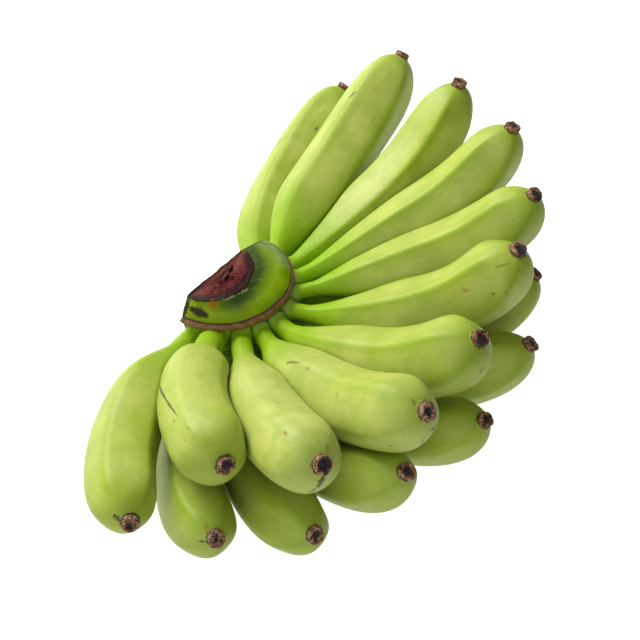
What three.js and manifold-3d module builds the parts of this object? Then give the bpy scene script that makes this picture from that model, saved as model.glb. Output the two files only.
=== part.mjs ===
// A hand of short green plantain fingers lying bowl-up: two staggered rows of fingers grow out of the
// round side of a half-disc crown, the lower row carries the upper one, and every tip rises.
// Millimetres and degrees, Z up, the table at Z = 0. Headings are measured from +X towards +Y.
import * as THREE from 'three';
import Module from 'manifold-3d';

const wasm = await Module();
wasm.setup();

// Driving dimensions of the crown: a half disc cut straight along its chord
const CROWN_HEADING = -38;      // the way the round side faces
const CUT_OFFSET = 0.5;         // the straight cut lies this far behind the centre of the ring
const GAP = 0.35;               // clearance left between neighbouring bodies
const CROWN_SIDES = 26;

// Level by level: height, reach to the far end, reach to the near end, reach to the round side
const CROWN_LEVELS = [
  { z: -37.0, far: 17, near: 20, round: 17 },
  { z: -35.0, far: 24, near: 27, round: 24 },
  { z: -29.0, far: 30, near: 33, round: 30 },
  { z: -18.0, far: 33, near: 36, round: 33 },
  { z: -6.0, far: 35.5, near: 38.5, round: 34.5 },
  { z: 2.5, far: 36, near: 39.5, round: 35 },
  { z: 6.0, far: 34, near: 38.5, round: 33 },
  { z: 8.5, far: 31.5, near: 37.5, round: 29.5 },
  { z: 10.0, far: 28.5, near: 36.5, round: 25.5 },
  { z: 11.8, far: 24.5, near: 35.5, round: 22 },
  { z: 13.5, far: 18, near: 34.5, round: 20.3 },
  { z: 15.0, far: 12, near: 34, round: 19.5 },
];

// The dried bract scar runs round the crown just above the upper necks, thick at the near end
const SCAR_HEIGHT = 5.2;
const SCAR_DEPTH = 2.6;
const SCAR_THIN = 0.36;         // share of both left at the far end
const SCAR_MIDDLE = 3.0;        // height of its middle above the ring

// Driving dimensions shared by all fingers
const ROOT_RADIUS = 29;         // how far from the middle of the ring a neck starts
const UPPER_ROOT = -8;          // height of the upper necks against the ring
const LOWER_ROOT = -26;
const NUB_RADIUS = 4.4;         // the corky flower scar at the tip
const NUB_RIM = 1.1;            // the nub's thickest ring lies this far behind the tip
const PIT_DEPTH = 1.4;
const BELLY_SHARPNESS = 5;      // higher makes the soft faces flatter and the ridges between them crisper
const BACK_SHARPNESS = 13;      // the same on the upper side, where the ridges show most
const FINGER_SIDES = 14;
const TOUCH_GAP = 0.6;          // clearance between two fingers pressed together
const TABLE = -49;              // the table under the ring's centre

// One entry a finger, from the far end of the crown to the near end: where its neck leaves the crown,
// its heading and its climb at the neck and at the tip, its length, its radius at the neck and at its
// thickest, and the turn of its ridges. Traits that differ from these follow.
const TRAITS = {
  crisp: 0.8,       // how far the five faces stand out against a round section
  neckEnd: 0.12,    // share of the length where the neck ends
  swell: 0.42,      // share of the length over which the body then swells
  taper: 0.7,       // share of the length where the end begins to close
  bend: 1,          // power by which the heading eases
  rise: 1,          // power by which the climb eases
};

// One finger's sizes and traits
function finger(root, heading, climb, length, neck, radius, roll, traits) {
  return { ...TRAITS, root, heading, climb, length, neck, radius, roll, ...traits };
}

const UPPER_ROW = [
  finger(40, [71, 45], [5, 50], 167, 5.4, 19.5, -24, { neckEnd: 0.06, swell: 0.3, bend: 0.8, rise: 1.5 }),
  finger(25, [41, 38], [3, 76], 168, 4.6, 17.5, 8, { crisp: 0.9, neckEnd: 0.09, taper: 0.73, rise: 1.9 }),
  finger(8, [28, 13], [7, 72], 168, 4.2, 17, 24, { crisp: 0.9, taper: 0.75, rise: 2 }),
  finger(-9, [14, -6], [6, 68], 162, 4.2, 17.5, 19, { crisp: 0.9, taper: 0.76, rise: 2.1 }),
  finger(-26, [-18, 0], [1, 74], 156, 4.7, 18.5, 20, { crisp: 0.9, taper: 0.77, rise: 1.7 }),
  finger(-43, [-48, -19], [0, 58], 153, 5.4, 18.5, 16, { crisp: 0.85, swell: 0.36, taper: 0.78, rise: 1.2 }),
  finger(-60, [-64, -38], [0, 46], 156, 5.4, 18.5, 22, { crisp: 0.6, swell: 0.32, taper: 0.77 }),
  finger(-77, [-84, -56], [2, 39], 152, 6, 18.5, 20, { crisp: 0.45, neckEnd: 0.17, swell: 0.3, taper: 0.76 }),
  finger(-97, [-112, -56], [10, 22], 130, 8, 18.5, 12,
    { crisp: 0.45, neckEnd: 0.19, swell: 0.2, taper: 0.76 }),
  finger(-115, [-132, -66], [-2, 16], 154, 5.6, 17, 19,
    { crisp: 0.5, neckEnd: 0.16, swell: 0.26, taper: 0.76 }),
];
const LOWER_ROW = [
  finger(41, [122, 39], [-12, 46], 170, 5.4, 18, -24, { neckEnd: 0.08, swell: 0.32, bend: 0.6 }),
  finger(29, [36, 40], [-20, 38], 152, 6, 17, 0, { neckEnd: 0.08, swell: 0.3 }),
  finger(14, [22, 28], [-20, 38], 152, 6.5, 17, 0, { neckEnd: 0.08, swell: 0.3 }),
  finger(-2, [2, 14], [-20, 38], 152, 5, 17, 0),
  finger(-18, [-15, 15], [-23, 58], 163, 5, 17.5, 8),
  finger(-34, [-32, 0], [-22, 52], 162, 5, 17.5, 20),
  finger(-51, [-50, -22], [-22, 52], 161, 5, 17.5, 24),
  finger(-69, [-72, -35], [-23, 57], 164, 5, 17.5, 20),
  finger(-88, [-88, -52], [-18, 37], 156, 5, 17.5, 12, { crisp: 0.6 }),
  finger(-107, [-110, -59], [-19, 39], 155, 5, 17.5, 12, { crisp: 0.6 }),
];

// Stations along a finger, close together where it is strongly curved
const STATIONS = [
  0, 0.05, 0.1, 0.145, 0.19, 0.24, 0.31, 0.4, 0.51, 0.63, 0.74, 0.83, 0.895, 0.94, 0.965, 0.98,
];
const PATH_STEPS = 120;
const NEIGHBOUR_SAMPLES = 60;

// The fingers of a row with their names and the height where their necks start
function nameRow(row, word, rootHeight) {
  return row.map((sizes, index) => {
    const name = `${word}_finger_${String(index + 1).padStart(2, '0')}`;
    return { ...sizes, name, rootHeight };
  });
}

const FINGERS = [...nameRow(UPPER_ROW, 'upper', UPPER_ROOT), ...nameRow(LOWER_ROW, 'lower', LOWER_ROOT)];

const radians = THREE.MathUtils.degToRad;
const clamp01 = (value) => THREE.MathUtils.clamp(value, 0, 1);

// Unit vector in the level plane
function level(heading) {
  return new THREE.Vector3(Math.cos(radians(heading)), Math.sin(radians(heading)), 0);
}

// Unit vector with a heading and a climb
function pointing(heading, climb) {
  return level(heading).multiplyScalar(Math.cos(radians(climb))).setZ(Math.sin(radians(climb)));
}

// A finger's direction at a share of its length: heading and climb ease from the neck to the tip
function directionAt(finger, share) {
  const heading = THREE.MathUtils.lerp(finger.heading[0], finger.heading[1], share ** finger.bend);
  const climb = THREE.MathUtils.lerp(finger.climb[0], finger.climb[1], share ** finger.rise);
  return pointing(heading, climb);
}

// The middle line of a finger, walked in small steps from its root inside the crown
function walkMiddleLine(finger) {
  const points = [level(finger.root).multiplyScalar(ROOT_RADIUS).setZ(finger.rootHeight)];
  for (let step = 0; step < PATH_STEPS; step += 1) {
    const direction = directionAt(finger, (step + 0.5) / PATH_STEPS);
    const next = points[step].clone().addScaledVector(direction, finger.length / PATH_STEPS);
    points.push(next);
  }
  return points;
}

// A point on the middle line between two steps
function pointAt(line, share) {
  const place = clamp01(share) * PATH_STEPS;
  const before = Math.min(Math.floor(place), PATH_STEPS - 1);
  return line[before].clone().lerp(line[before + 1], place - before);
}

// Radius of a finger's round envelope: flared root, slim neck, full body, blunt end, corky nub
function radiusAt(finger, share) {
  const swell = clamp01((share - finger.neckEnd) / finger.swell) ** 1.3;
  const body = THREE.MathUtils.lerp(finger.neck, finger.radius, 1 - (1 - swell) ** 2.2);
  const flare = 1.4 * (1 - clamp01(share / 0.05)) ** 2;
  const end = clamp01((share - finger.taper) / (0.985 - finger.taper));
  const blunt = Math.sqrt(1 - end ** 3);
  return Math.max((body + flare) * blunt, share < 0.5 ? 0 : NUB_RADIUS);
}

// The soft five-sided section, 1 on average, crisper towards the upper side
function sectionAt(finger, angle) {
  const upperness = ((1 + Math.cos(angle)) / 2) ** 2;
  const sharpness = THREE.MathUtils.lerp(BELLY_SHARPNESS, BACK_SHARPNESS, upperness);
  let sum = 0;
  for (let face = 0; face < 5; face += 1) {
    const lean = Math.max(0, Math.cos(angle + radians(finger.roll) - face * 2 * Math.PI / 5));
    sum += lean ** sharpness;
  }
  return THREE.MathUtils.lerp(1, sum ** (-1 / sharpness) / 1.04, finger.crisp);
}

// Distance from a finger's middle line to the surface it shares with a neighbour it is pressed
// against, measured along a ray. The shared surface divides the space in the ratio of the two radii.
function sharedReach(centre, ray, ownRadius, sample) {
  const apart = centre.clone().sub(sample.point);
  const distance = apart.length();
  const square = ownRadius ** 2 - sample.radius ** 2;
  const half = apart.dot(ray) * ownRadius ** 2;
  const last = (distance * ownRadius) ** 2;
  const root = half ** 2 - square * last;
  if (root < 0) {
    return Infinity;
  }
  const divisor = Math.sqrt(root) - half;
  if (divisor <= 1e-9) {
    return Infinity;
  }
  return (last / divisor) * (1 - TOUCH_GAP / distance);
}

// Samples of a neighbour's middle line with the radius there
function sampleNeighbour(finger, line) {
  const samples = [];
  for (let index = 0; index <= NEIGHBOUR_SAMPLES; index += 1) {
    const share = index / NEIGHBOUR_SAMPLES;
    samples.push({ point: pointAt(line, share), radius: radiusAt(finger, share) });
  }
  return samples;
}

// The turn of one corner of a ring: two corners straddle the underside, so that a clamped belly is flat
function cornerAngle(index) {
  return ((index + 0.5) / FINGER_SIDES) * 2 * Math.PI;
}

// One ring of surface points across a finger
function fingerRing(finger, line, share, neighbours) {
  const centre = pointAt(line, share);
  const along = directionAt(finger, share);
  const side = along.clone().cross(new THREE.Vector3(0, 0, 1)).normalize();
  const top = side.clone().cross(along);
  const round = radiusAt(finger, share);
  const ridged = clamp01((share - 0.03) / 0.24) * clamp01((1 - share) / 0.1);
  const reachable = 2 * (round + 20);
  const close = neighbours.filter((sample) => sample.point.distanceTo(centre) < reachable);
  const ring = [];
  for (let index = 0; index < FINGER_SIDES; index += 1) {
    const angle = cornerAngle(index);
    const ray = top.clone().multiplyScalar(Math.cos(angle)).addScaledVector(side, Math.sin(angle));
    let reach = round * THREE.MathUtils.lerp(1, sectionAt(finger, angle), ridged);
    for (const sample of close) {
      reach = Math.min(reach, sharedReach(centre, ray, round, sample));
    }
    const point = centre.clone().addScaledVector(ray, Math.max(reach, 0.6));
    point.z = Math.max(point.z, TABLE);
    ring.push(point);
  }
  return ring;
}

// The corky nub: a raised rim round a sunken dark pit
function nubRings(finger, line) {
  const tip = pointAt(line, 1);
  const along = directionAt(finger, 1);
  const side = along.clone().cross(new THREE.Vector3(0, 0, 1)).normalize();
  const top = side.clone().cross(along);
  const profile = [
    { back: NUB_RIM, radius: NUB_RADIUS * 1.04 },
    { back: 0, radius: NUB_RADIUS * 0.8 },
    { back: PIT_DEPTH, radius: NUB_RADIUS * 0.42 },
  ];
  return profile.map(({ back, radius }) => {
    const ring = [];
    for (let index = 0; index < FINGER_SIDES; index += 1) {
      const angle = cornerAngle(index);
      const point = tip.clone().addScaledVector(along, -back);
      point.addScaledVector(top, radius * Math.cos(angle));
      point.addScaledVector(side, radius * Math.sin(angle));
      ring.push(point);
    }
    return ring;
  });
}

// A closed solid from rings of equal count, with a point in the middle of both ends
function solidFromRings(rings) {
  const count = rings[0].length;
  const points = rings.flat();
  const total = (ring) => ring.reduce((sum, point) => sum.add(point), new THREE.Vector3());
  const middle = (ring) => total(ring).divideScalar(count);
  const start = points.push(middle(rings[0])) - 1;
  const finish = points.push(middle(rings[rings.length - 1])) - 1;
  const triangles = [];
  for (let row = 0; row < rings.length - 1; row += 1) {
    for (let index = 0; index < count; index += 1) {
      const next = (index + 1) % count;
      const a = row * count + index;
      const b = row * count + next;
      triangles.push(a, a + count, b, b, a + count, b + count);
    }
  }
  const last = (rings.length - 1) * count;
  for (let index = 0; index < count; index += 1) {
    const next = (index + 1) % count;
    triangles.push(start, index, next);
    triangles.push(finish, last + next, last + index);
  }
  return solidFrom(points, triangles);
}

// A solid from shared points and triangles, turned right side out if it came inside out
function solidFrom(points, triangles) {
  const coordinates = new Float32Array(points.flatMap((point) => point.toArray()));
  const forward = new Uint32Array(triangles);
  const mesh = new wasm.Mesh({ numProp: 3, vertProperties: coordinates, triVerts: forward });
  const solid = new wasm.Manifold(mesh);
  if (solid.volume() > 0) {
    return solid;
  }
  const backward = new Uint32Array(triangles.slice().reverse());
  return new wasm.Manifold(new wasm.Mesh({ numProp: 3, vertProperties: coordinates, triVerts: backward }));
}

const CHORD = level(CROWN_HEADING + 90);
const ROUND = level(CROWN_HEADING);

// A point of the crown's outline on one level, from the far end (0) round to the near end (180)
function crownPoint(crownLevel, turn, grow) {
  const half = (crownLevel.far + crownLevel.near) / 2 + grow;
  const middle = (crownLevel.far - crownLevel.near) / 2;
  const point = CHORD.clone().multiplyScalar(middle + half * Math.cos(radians(turn)));
  point.addScaledVector(ROUND, (crownLevel.round + grow + CUT_OFFSET) * Math.sin(radians(turn)) - CUT_OFFSET);
  return point.setZ(crownLevel.z);
}

// The crown's level at any height between the listed ones
function levelAt(z) {
  const above = CROWN_LEVELS.findIndex((crownLevel) => crownLevel.z > z);
  const [low, high] = [CROWN_LEVELS[above - 1], CROWN_LEVELS[above]];
  const share = (z - low.z) / (high.z - low.z);
  const between = (side) => THREE.MathUtils.lerp(low[side], high[side], share);
  return { z, far: between('far'), near: between('near'), round: between('round') };
}

// The crown's closed body: outlines stacked level by level, the straight cut closes each of them
function crownSolid(grow) {
  const rings = CROWN_LEVELS.map((crownLevel, index) => {
    const lift = index === 0 ? -grow : index === CROWN_LEVELS.length - 1 ? grow : 0;
    const ring = [];
    for (let step = 0; step <= CROWN_SIDES; step += 1) {
      const point = crownPoint(crownLevel, (step / CROWN_SIDES) * 180, grow);
      ring.push(point.setZ(crownLevel.z + lift));
    }
    return ring;
  });
  return solidFromRings(rings);
}

// The bract scar's closed body: a rounded lip laid along the crown's wall, thinning to the far end
function scarSolid(grow) {
  const outline = [[0, -1], [0.55, -0.95], [1, -0.4], [1, 0.35], [0.6, 0.9], [0, 1], [0, 0]];
  const rings = [];
  for (let step = 0; step <= CROWN_SIDES + 6; step += 1) {
    const turn = 3 + 174 * (step / (CROWN_SIDES + 6));
    const share = SCAR_THIN + (1 - SCAR_THIN) * THREE.MathUtils.smoothstep(turn, 15, 130);
    const middle = levelAt(SCAR_MIDDLE);
    const outward = crownPoint(middle, turn, 1).sub(crownPoint(middle, turn, 0)).normalize();
    rings.push(outline.map(([out, up]) => {
      const depth = out * (SCAR_DEPTH * share + 2 * grow);
      const height = SCAR_MIDDLE + up * (SCAR_HEIGHT * share / 2 + grow);
      const foot = crownPoint(levelAt(height), turn, GAP - grow + 0.1);
      return foot.addScaledVector(outward, depth);
    }));
  }
  return solidFromRings(rings);
}

// A finger's closed body, its neck trimmed where it meets the crown and the scar
function fingerSolid(finger, lines, trim) {
  const neighbours = FINGERS.filter((other) => other !== finger);
  const samples = neighbours.flatMap((other) => sampleNeighbour(other, lines.get(other)));
  const line = lines.get(finger);
  const rings = STATIONS.map((share) => fingerRing(finger, line, share, samples));
  return solidFromRings([...rings, ...nubRings(finger, line)]).subtract(trim);
}

// A named mesh in its own material
function meshFrom(name, solid, colour, roughness) {
  const mesh = solid.getMesh();
  const geometry = new THREE.BufferGeometry();
  const coordinates = [];
  for (let index = 0; index < mesh.vertProperties.length; index += mesh.numProp) {
    coordinates.push(...mesh.vertProperties.slice(index, index + 3));
  }
  geometry.setAttribute('position', new THREE.Float32BufferAttribute(coordinates, 3));
  geometry.setIndex(Array.from(mesh.triVerts));
  geometry.computeVertexNormals();
  const material = new THREE.MeshStandardMaterial({ color: colour, roughness, metalness: 0 });
  const part = new THREE.Mesh(geometry, material);
  part.name = name;
  return part;
}

// The whole hand, set down with the middle of its box over the origin and its lowest point on Z = 0
function buildHand() {
  const hand = new THREE.Group();
  hand.name = 'plantain_hand';
  hand.add(meshFrom('crown', crownSolid(0), 0x7d8f3a, 0.6));
  hand.add(meshFrom('bract_scar', scarSolid(0), 0x7a5a3c, 0.85));
  const trim = crownSolid(GAP).add(scarSolid(GAP));
  const lines = new Map(FINGERS.map((finger) => [finger, walkMiddleLine(finger)]));
  for (const finger of FINGERS) {
    hand.add(meshFrom(finger.name, fingerSolid(finger, lines, trim), 0xa9bd58, 0.5));
  }
  const box = new THREE.Box3().setFromObject(hand);
  const middle = box.getCenter(new THREE.Vector3());
  for (const part of hand.children) {
    part.geometry.translate(-middle.x, -middle.y, -box.min.z);
  }
  return hand;
}

const group = buildHand();

export default group;
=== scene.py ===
"""A hand of short green plantain fingers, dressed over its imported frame.

Two staggered rows of fingers grow out of the round side of a half-disc crown. Every finger is a soft
five-sided body swept along a bending middle line and pressed flat where it meets its neighbours, with
a corky nub at its tip. Shapes are worked out in millimetres from the centre of the ring of necks, and
are put into the row frame in metres when a mesh is made. Headings are measured from +X towards +Y.
"""

from __future__ import annotations

import logging
from collections.abc import Callable
from dataclasses import dataclass
from enum import Enum

import bpy
import numpy as np
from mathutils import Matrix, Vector

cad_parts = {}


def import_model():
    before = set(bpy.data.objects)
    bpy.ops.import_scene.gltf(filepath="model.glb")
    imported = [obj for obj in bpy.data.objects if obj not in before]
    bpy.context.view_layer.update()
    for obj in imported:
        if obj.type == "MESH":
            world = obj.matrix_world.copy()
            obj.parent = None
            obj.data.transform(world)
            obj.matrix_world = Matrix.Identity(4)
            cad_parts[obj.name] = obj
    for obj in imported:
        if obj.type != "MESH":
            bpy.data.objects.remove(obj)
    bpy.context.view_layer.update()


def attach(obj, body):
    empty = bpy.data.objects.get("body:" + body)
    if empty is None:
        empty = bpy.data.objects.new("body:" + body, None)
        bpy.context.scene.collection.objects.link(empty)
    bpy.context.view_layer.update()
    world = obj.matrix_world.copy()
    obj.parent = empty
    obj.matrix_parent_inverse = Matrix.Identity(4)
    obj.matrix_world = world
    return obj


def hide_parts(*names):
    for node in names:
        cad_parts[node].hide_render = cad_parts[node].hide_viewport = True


LOG = logging.getLogger("plantain_hand")

Array = np.ndarray
Colour = tuple[float, float, float]
Socket = bpy.types.NodeSocket
Band = tuple[float, float]

RING_PLACE = np.array([-54.625, 4.569, 49.0])
TABLE = -49.0
ROOT_RADIUS = 29.0
UPPER_ROOT = -8.0
LOWER_ROOT = -26.0
FACE_TURN = 72.0
UP = np.array([0.0, 0.0, 1.0])


class Slot(Enum):
    """The record's material slots."""

    PEEL = "peel"
    CROWN_SKIN = "crown_skin"
    DRY_BRACT = "dry_bract"


# Numbers and surfaces


def paint(red: int, green: int, blue: int) -> Colour:
    """A colour given on the usual 0 to 255 scale, as the linear light that shaders read.

    Args:
        red: Red, 0 to 255.
        green: Green, 0 to 255.
        blue: Blue, 0 to 255.

    Returns:
        Three linear values.
    """
    share = np.array([red, green, blue]) / 255
    linear = np.where(share <= 0.04045, share / 12.92, ((share + 0.055) / 1.055) ** 2.4)
    return tuple(float(value) for value in linear)


def in_row_frame(*point: float) -> Array:
    """A point in millimetres from the ring's centre, as metres in the row frame."""
    return (RING_PLACE + point) / 1000


def ease(value: Array, low: float, high: float) -> Array:
    """A smooth step from 0 to 1: 3t squared less 2t cubed, t running from low to high.

    Args:
        value: Where to read it.
        low: Where the step begins.
        high: Where it ends.

    Returns:
        Values from 0 to 1.
    """
    t = np.clip((value - low) / (high - low), 0, 1)
    return t * t * (3 - 2 * t)


def bump_at(value: Array, middle: float, width: float) -> Array:
    """A bell of height 1: e to the power of minus the squared distance from its middle in widths."""
    return np.exp(-(((value - middle) / width) ** 2))


def soft_least(first: Array, second: Array, width: float) -> Array:
    """The smaller of two values, rounded off within a width where they cross.

    Args:
        first: One value.
        second: The other.
        width: How far apart they still blend.

    Returns:
        The blend, never more than the smaller one.
    """
    share = np.clip(0.5 + 0.5 * (second - first) / width, 0, 1)
    return second + (first - second) * share - width * share * (1 - share)


def level(heading: Array | float) -> Array:
    """Unit vector in the level plane: the cosine and sine of the heading, and no climb."""
    angle = np.radians(heading)
    return np.stack([np.cos(angle), np.sin(angle), np.zeros_like(angle)], -1)


# The crown's straight cut runs along CHORD, and its round side faces ROUND
CROWN_HEADING = -38.0
CHORD = level(CROWN_HEADING + 90)
ROUND = level(CROWN_HEADING)


def through(values: tuple[float, ...], places: Array) -> Array:
    """A smooth curve through evenly numbered values: a cubic whose slope at a value is half of the
    step between that value's two neighbours.

    Args:
        values: The values at 0, 1, 2 and so on.
        places: Where to read the curve.

    Returns:
        The curve at those places.
    """
    value = np.asarray(values, float)
    slope = np.gradient(value)
    before = np.clip(np.floor(places).astype(int), 0, len(value) - 2)
    t = places - before
    start = value[before] * (1 + 2 * t) * (1 - t) ** 2 + slope[before] * t * (1 - t) ** 2
    finish = value[before + 1] * t**2 * (3 - 2 * t) + slope[before + 1] * t**2 * (t - 1)
    return start + finish


def ripple(seed: int, angle: Array, waves: tuple[tuple[int, float], ...]) -> Array:
    """A closed uneven ring: a sum of cosines with seeded phases.

    Args:
        seed: Chooses the phases.
        angle: Angle round the ring, in radians.
        waves: How often each wave goes round, and its height.

    Returns:
        The height at each angle.
    """
    chance = np.random.default_rng(seed)
    total = np.zeros_like(angle)
    for often, height in waves:
        total = total + height * np.cos(often * angle + chance.uniform(0, 2 * np.pi))
    return total


def swell_waves(seed: int, along: Array, around: Array, count: int, height: float) -> Array:
    """Uneven swellings over a surface: a sum of cosines of mixed running directions.

    Args:
        seed: Chooses the directions and phases.
        along: Share along the piece.
        around: Angle round it, in radians.
        count: Number of waves.
        height: The sum's typical height.

    Returns:
        The height over the grid.
    """
    chance = np.random.default_rng(seed)
    total = np.zeros(np.broadcast(along, around).shape)
    for _ in range(count):
        often = int(chance.integers(-3, 4))
        running = chance.uniform(1.5, 9)
        total = total + np.cos(often * around + running * along * 2 + chance.uniform(0, 6.28))
    return total * height / np.sqrt(count)


@dataclass
class Surface:
    """A grid of points closed round its second way, with a middle point at both ends."""

    name: str
    points: Array
    fields: dict[str, Array]

    def _faces(self) -> tuple[Array, Array]:
        """Corner numbers of the quads, and of the two fans that close the ends."""
        rows, columns = self.points.shape[:2]
        number = np.arange(rows * columns).reshape(rows, columns)
        ahead = np.roll(number, -1, 1)
        quads = np.stack([number[:-1], number[1:], ahead[1:], ahead[:-1]], -1).reshape(-1, 4)
        first = np.full(columns, rows * columns)
        last = first + 1
        fans = np.concatenate([
            np.stack([first, number[0], ahead[0]], -1),
            np.stack([last, ahead[-1], number[-1]], -1),
        ])
        return quads, fans

    def make(self) -> bpy.types.Object:
        """Puts the grid into a mesh in the row frame, in metres, its faces pointing outwards.

        Returns:
            The linked object, at the origin.
        """
        rows, columns = self.points.shape[:2]
        flat = self.points.reshape(-1, 3)
        ends = np.stack([self.points[0].mean(0), self.points[-1].mean(0)])
        place = np.concatenate([flat, ends])
        quads, fans = self._faces()
        corner = place[np.concatenate([quads[:, [0, 1, 2]], quads[:, [0, 2, 3]], fans])]
        volume = np.einsum("ij,ij->", corner[:, 0], np.cross(corner[:, 1], corner[:, 2]))
        if volume < 0:
            quads, fans = quads[:, ::-1], fans[:, ::-1]
        corners = np.concatenate([quads.ravel(), fans.ravel()]).astype(np.int32)
        starts = np.concatenate([
            np.arange(len(quads)) * 4,
            len(quads) * 4 + np.arange(len(fans)) * 3,
        ]).astype(np.int32)
        mesh = bpy.data.meshes.new(self.name)
        mesh.vertices.add(len(place))
        mesh.vertices.foreach_set("co", ((place + RING_PLACE) / 1000).astype(np.float32).ravel())
        mesh.loops.add(len(corners))
        mesh.loops.foreach_set("vertex_index", corners)
        mesh.polygons.add(len(starts))
        mesh.polygons.foreach_set("loop_start", starts)
        mesh.update(calc_edges=True)
        mesh.shade_smooth()
        self._write_fields(mesh, rows, columns)
        piece = bpy.data.objects.new(self.name, mesh)
        bpy.context.scene.collection.objects.link(piece)
        return piece

    def _write_fields(self, mesh: bpy.types.Mesh, rows: int, columns: int) -> None:
        """Stores each field of the surface as an attribute, with its mean on the end points."""
        for name, values in self.fields.items():
            wide = values.ndim == 3
            full = np.broadcast_to(values, (rows, columns, 3) if wide else (rows, columns))
            flat = full.reshape(rows * columns, -1)
            ends = np.stack([full[0].reshape(columns, -1).mean(0), full[-1].reshape(columns, -1).mean(0)])
            every = np.concatenate([flat, ends]).astype(np.float32)
            kind = "FLOAT_VECTOR" if wide else "FLOAT"
            attribute = mesh.attributes.new(name, kind, "POINT")
            attribute.data.foreach_set("vector" if wide else "value", every.ravel())


# Shader wiring


@dataclass(frozen=True)
class Cloud:
    """Cloudy noise: clouds in a metre, finer layers, their strength and their swirl, and the band of
    the noise over which its patches come in."""

    scale: float
    detail: float = 3.0
    rough: float = 0.5
    swirl: float = 0.0
    band: Band = (0.0, 1.0)


@dataclass(frozen=True)
class Tint:
    """A colour that is laid over others, how strongly, and the band over which it comes in."""

    colour: Colour
    strength: float
    band: Band = (0.0, 1.0)


@dataclass(frozen=True)
class Mark:
    """A scratch, spot, stain or pit between two places, and its width in millimetres. On a finger a
    place is a share along it and an angle from its upper side in degrees, and on the crown a point
    in millimetres from the ring's centre."""

    start: tuple[float, ...]
    finish: tuple[float, ...]
    width: float
    colour: Colour
    strength: float = 0.9
    ragged: float = 1.2
    sunken: float = 0.0


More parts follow.
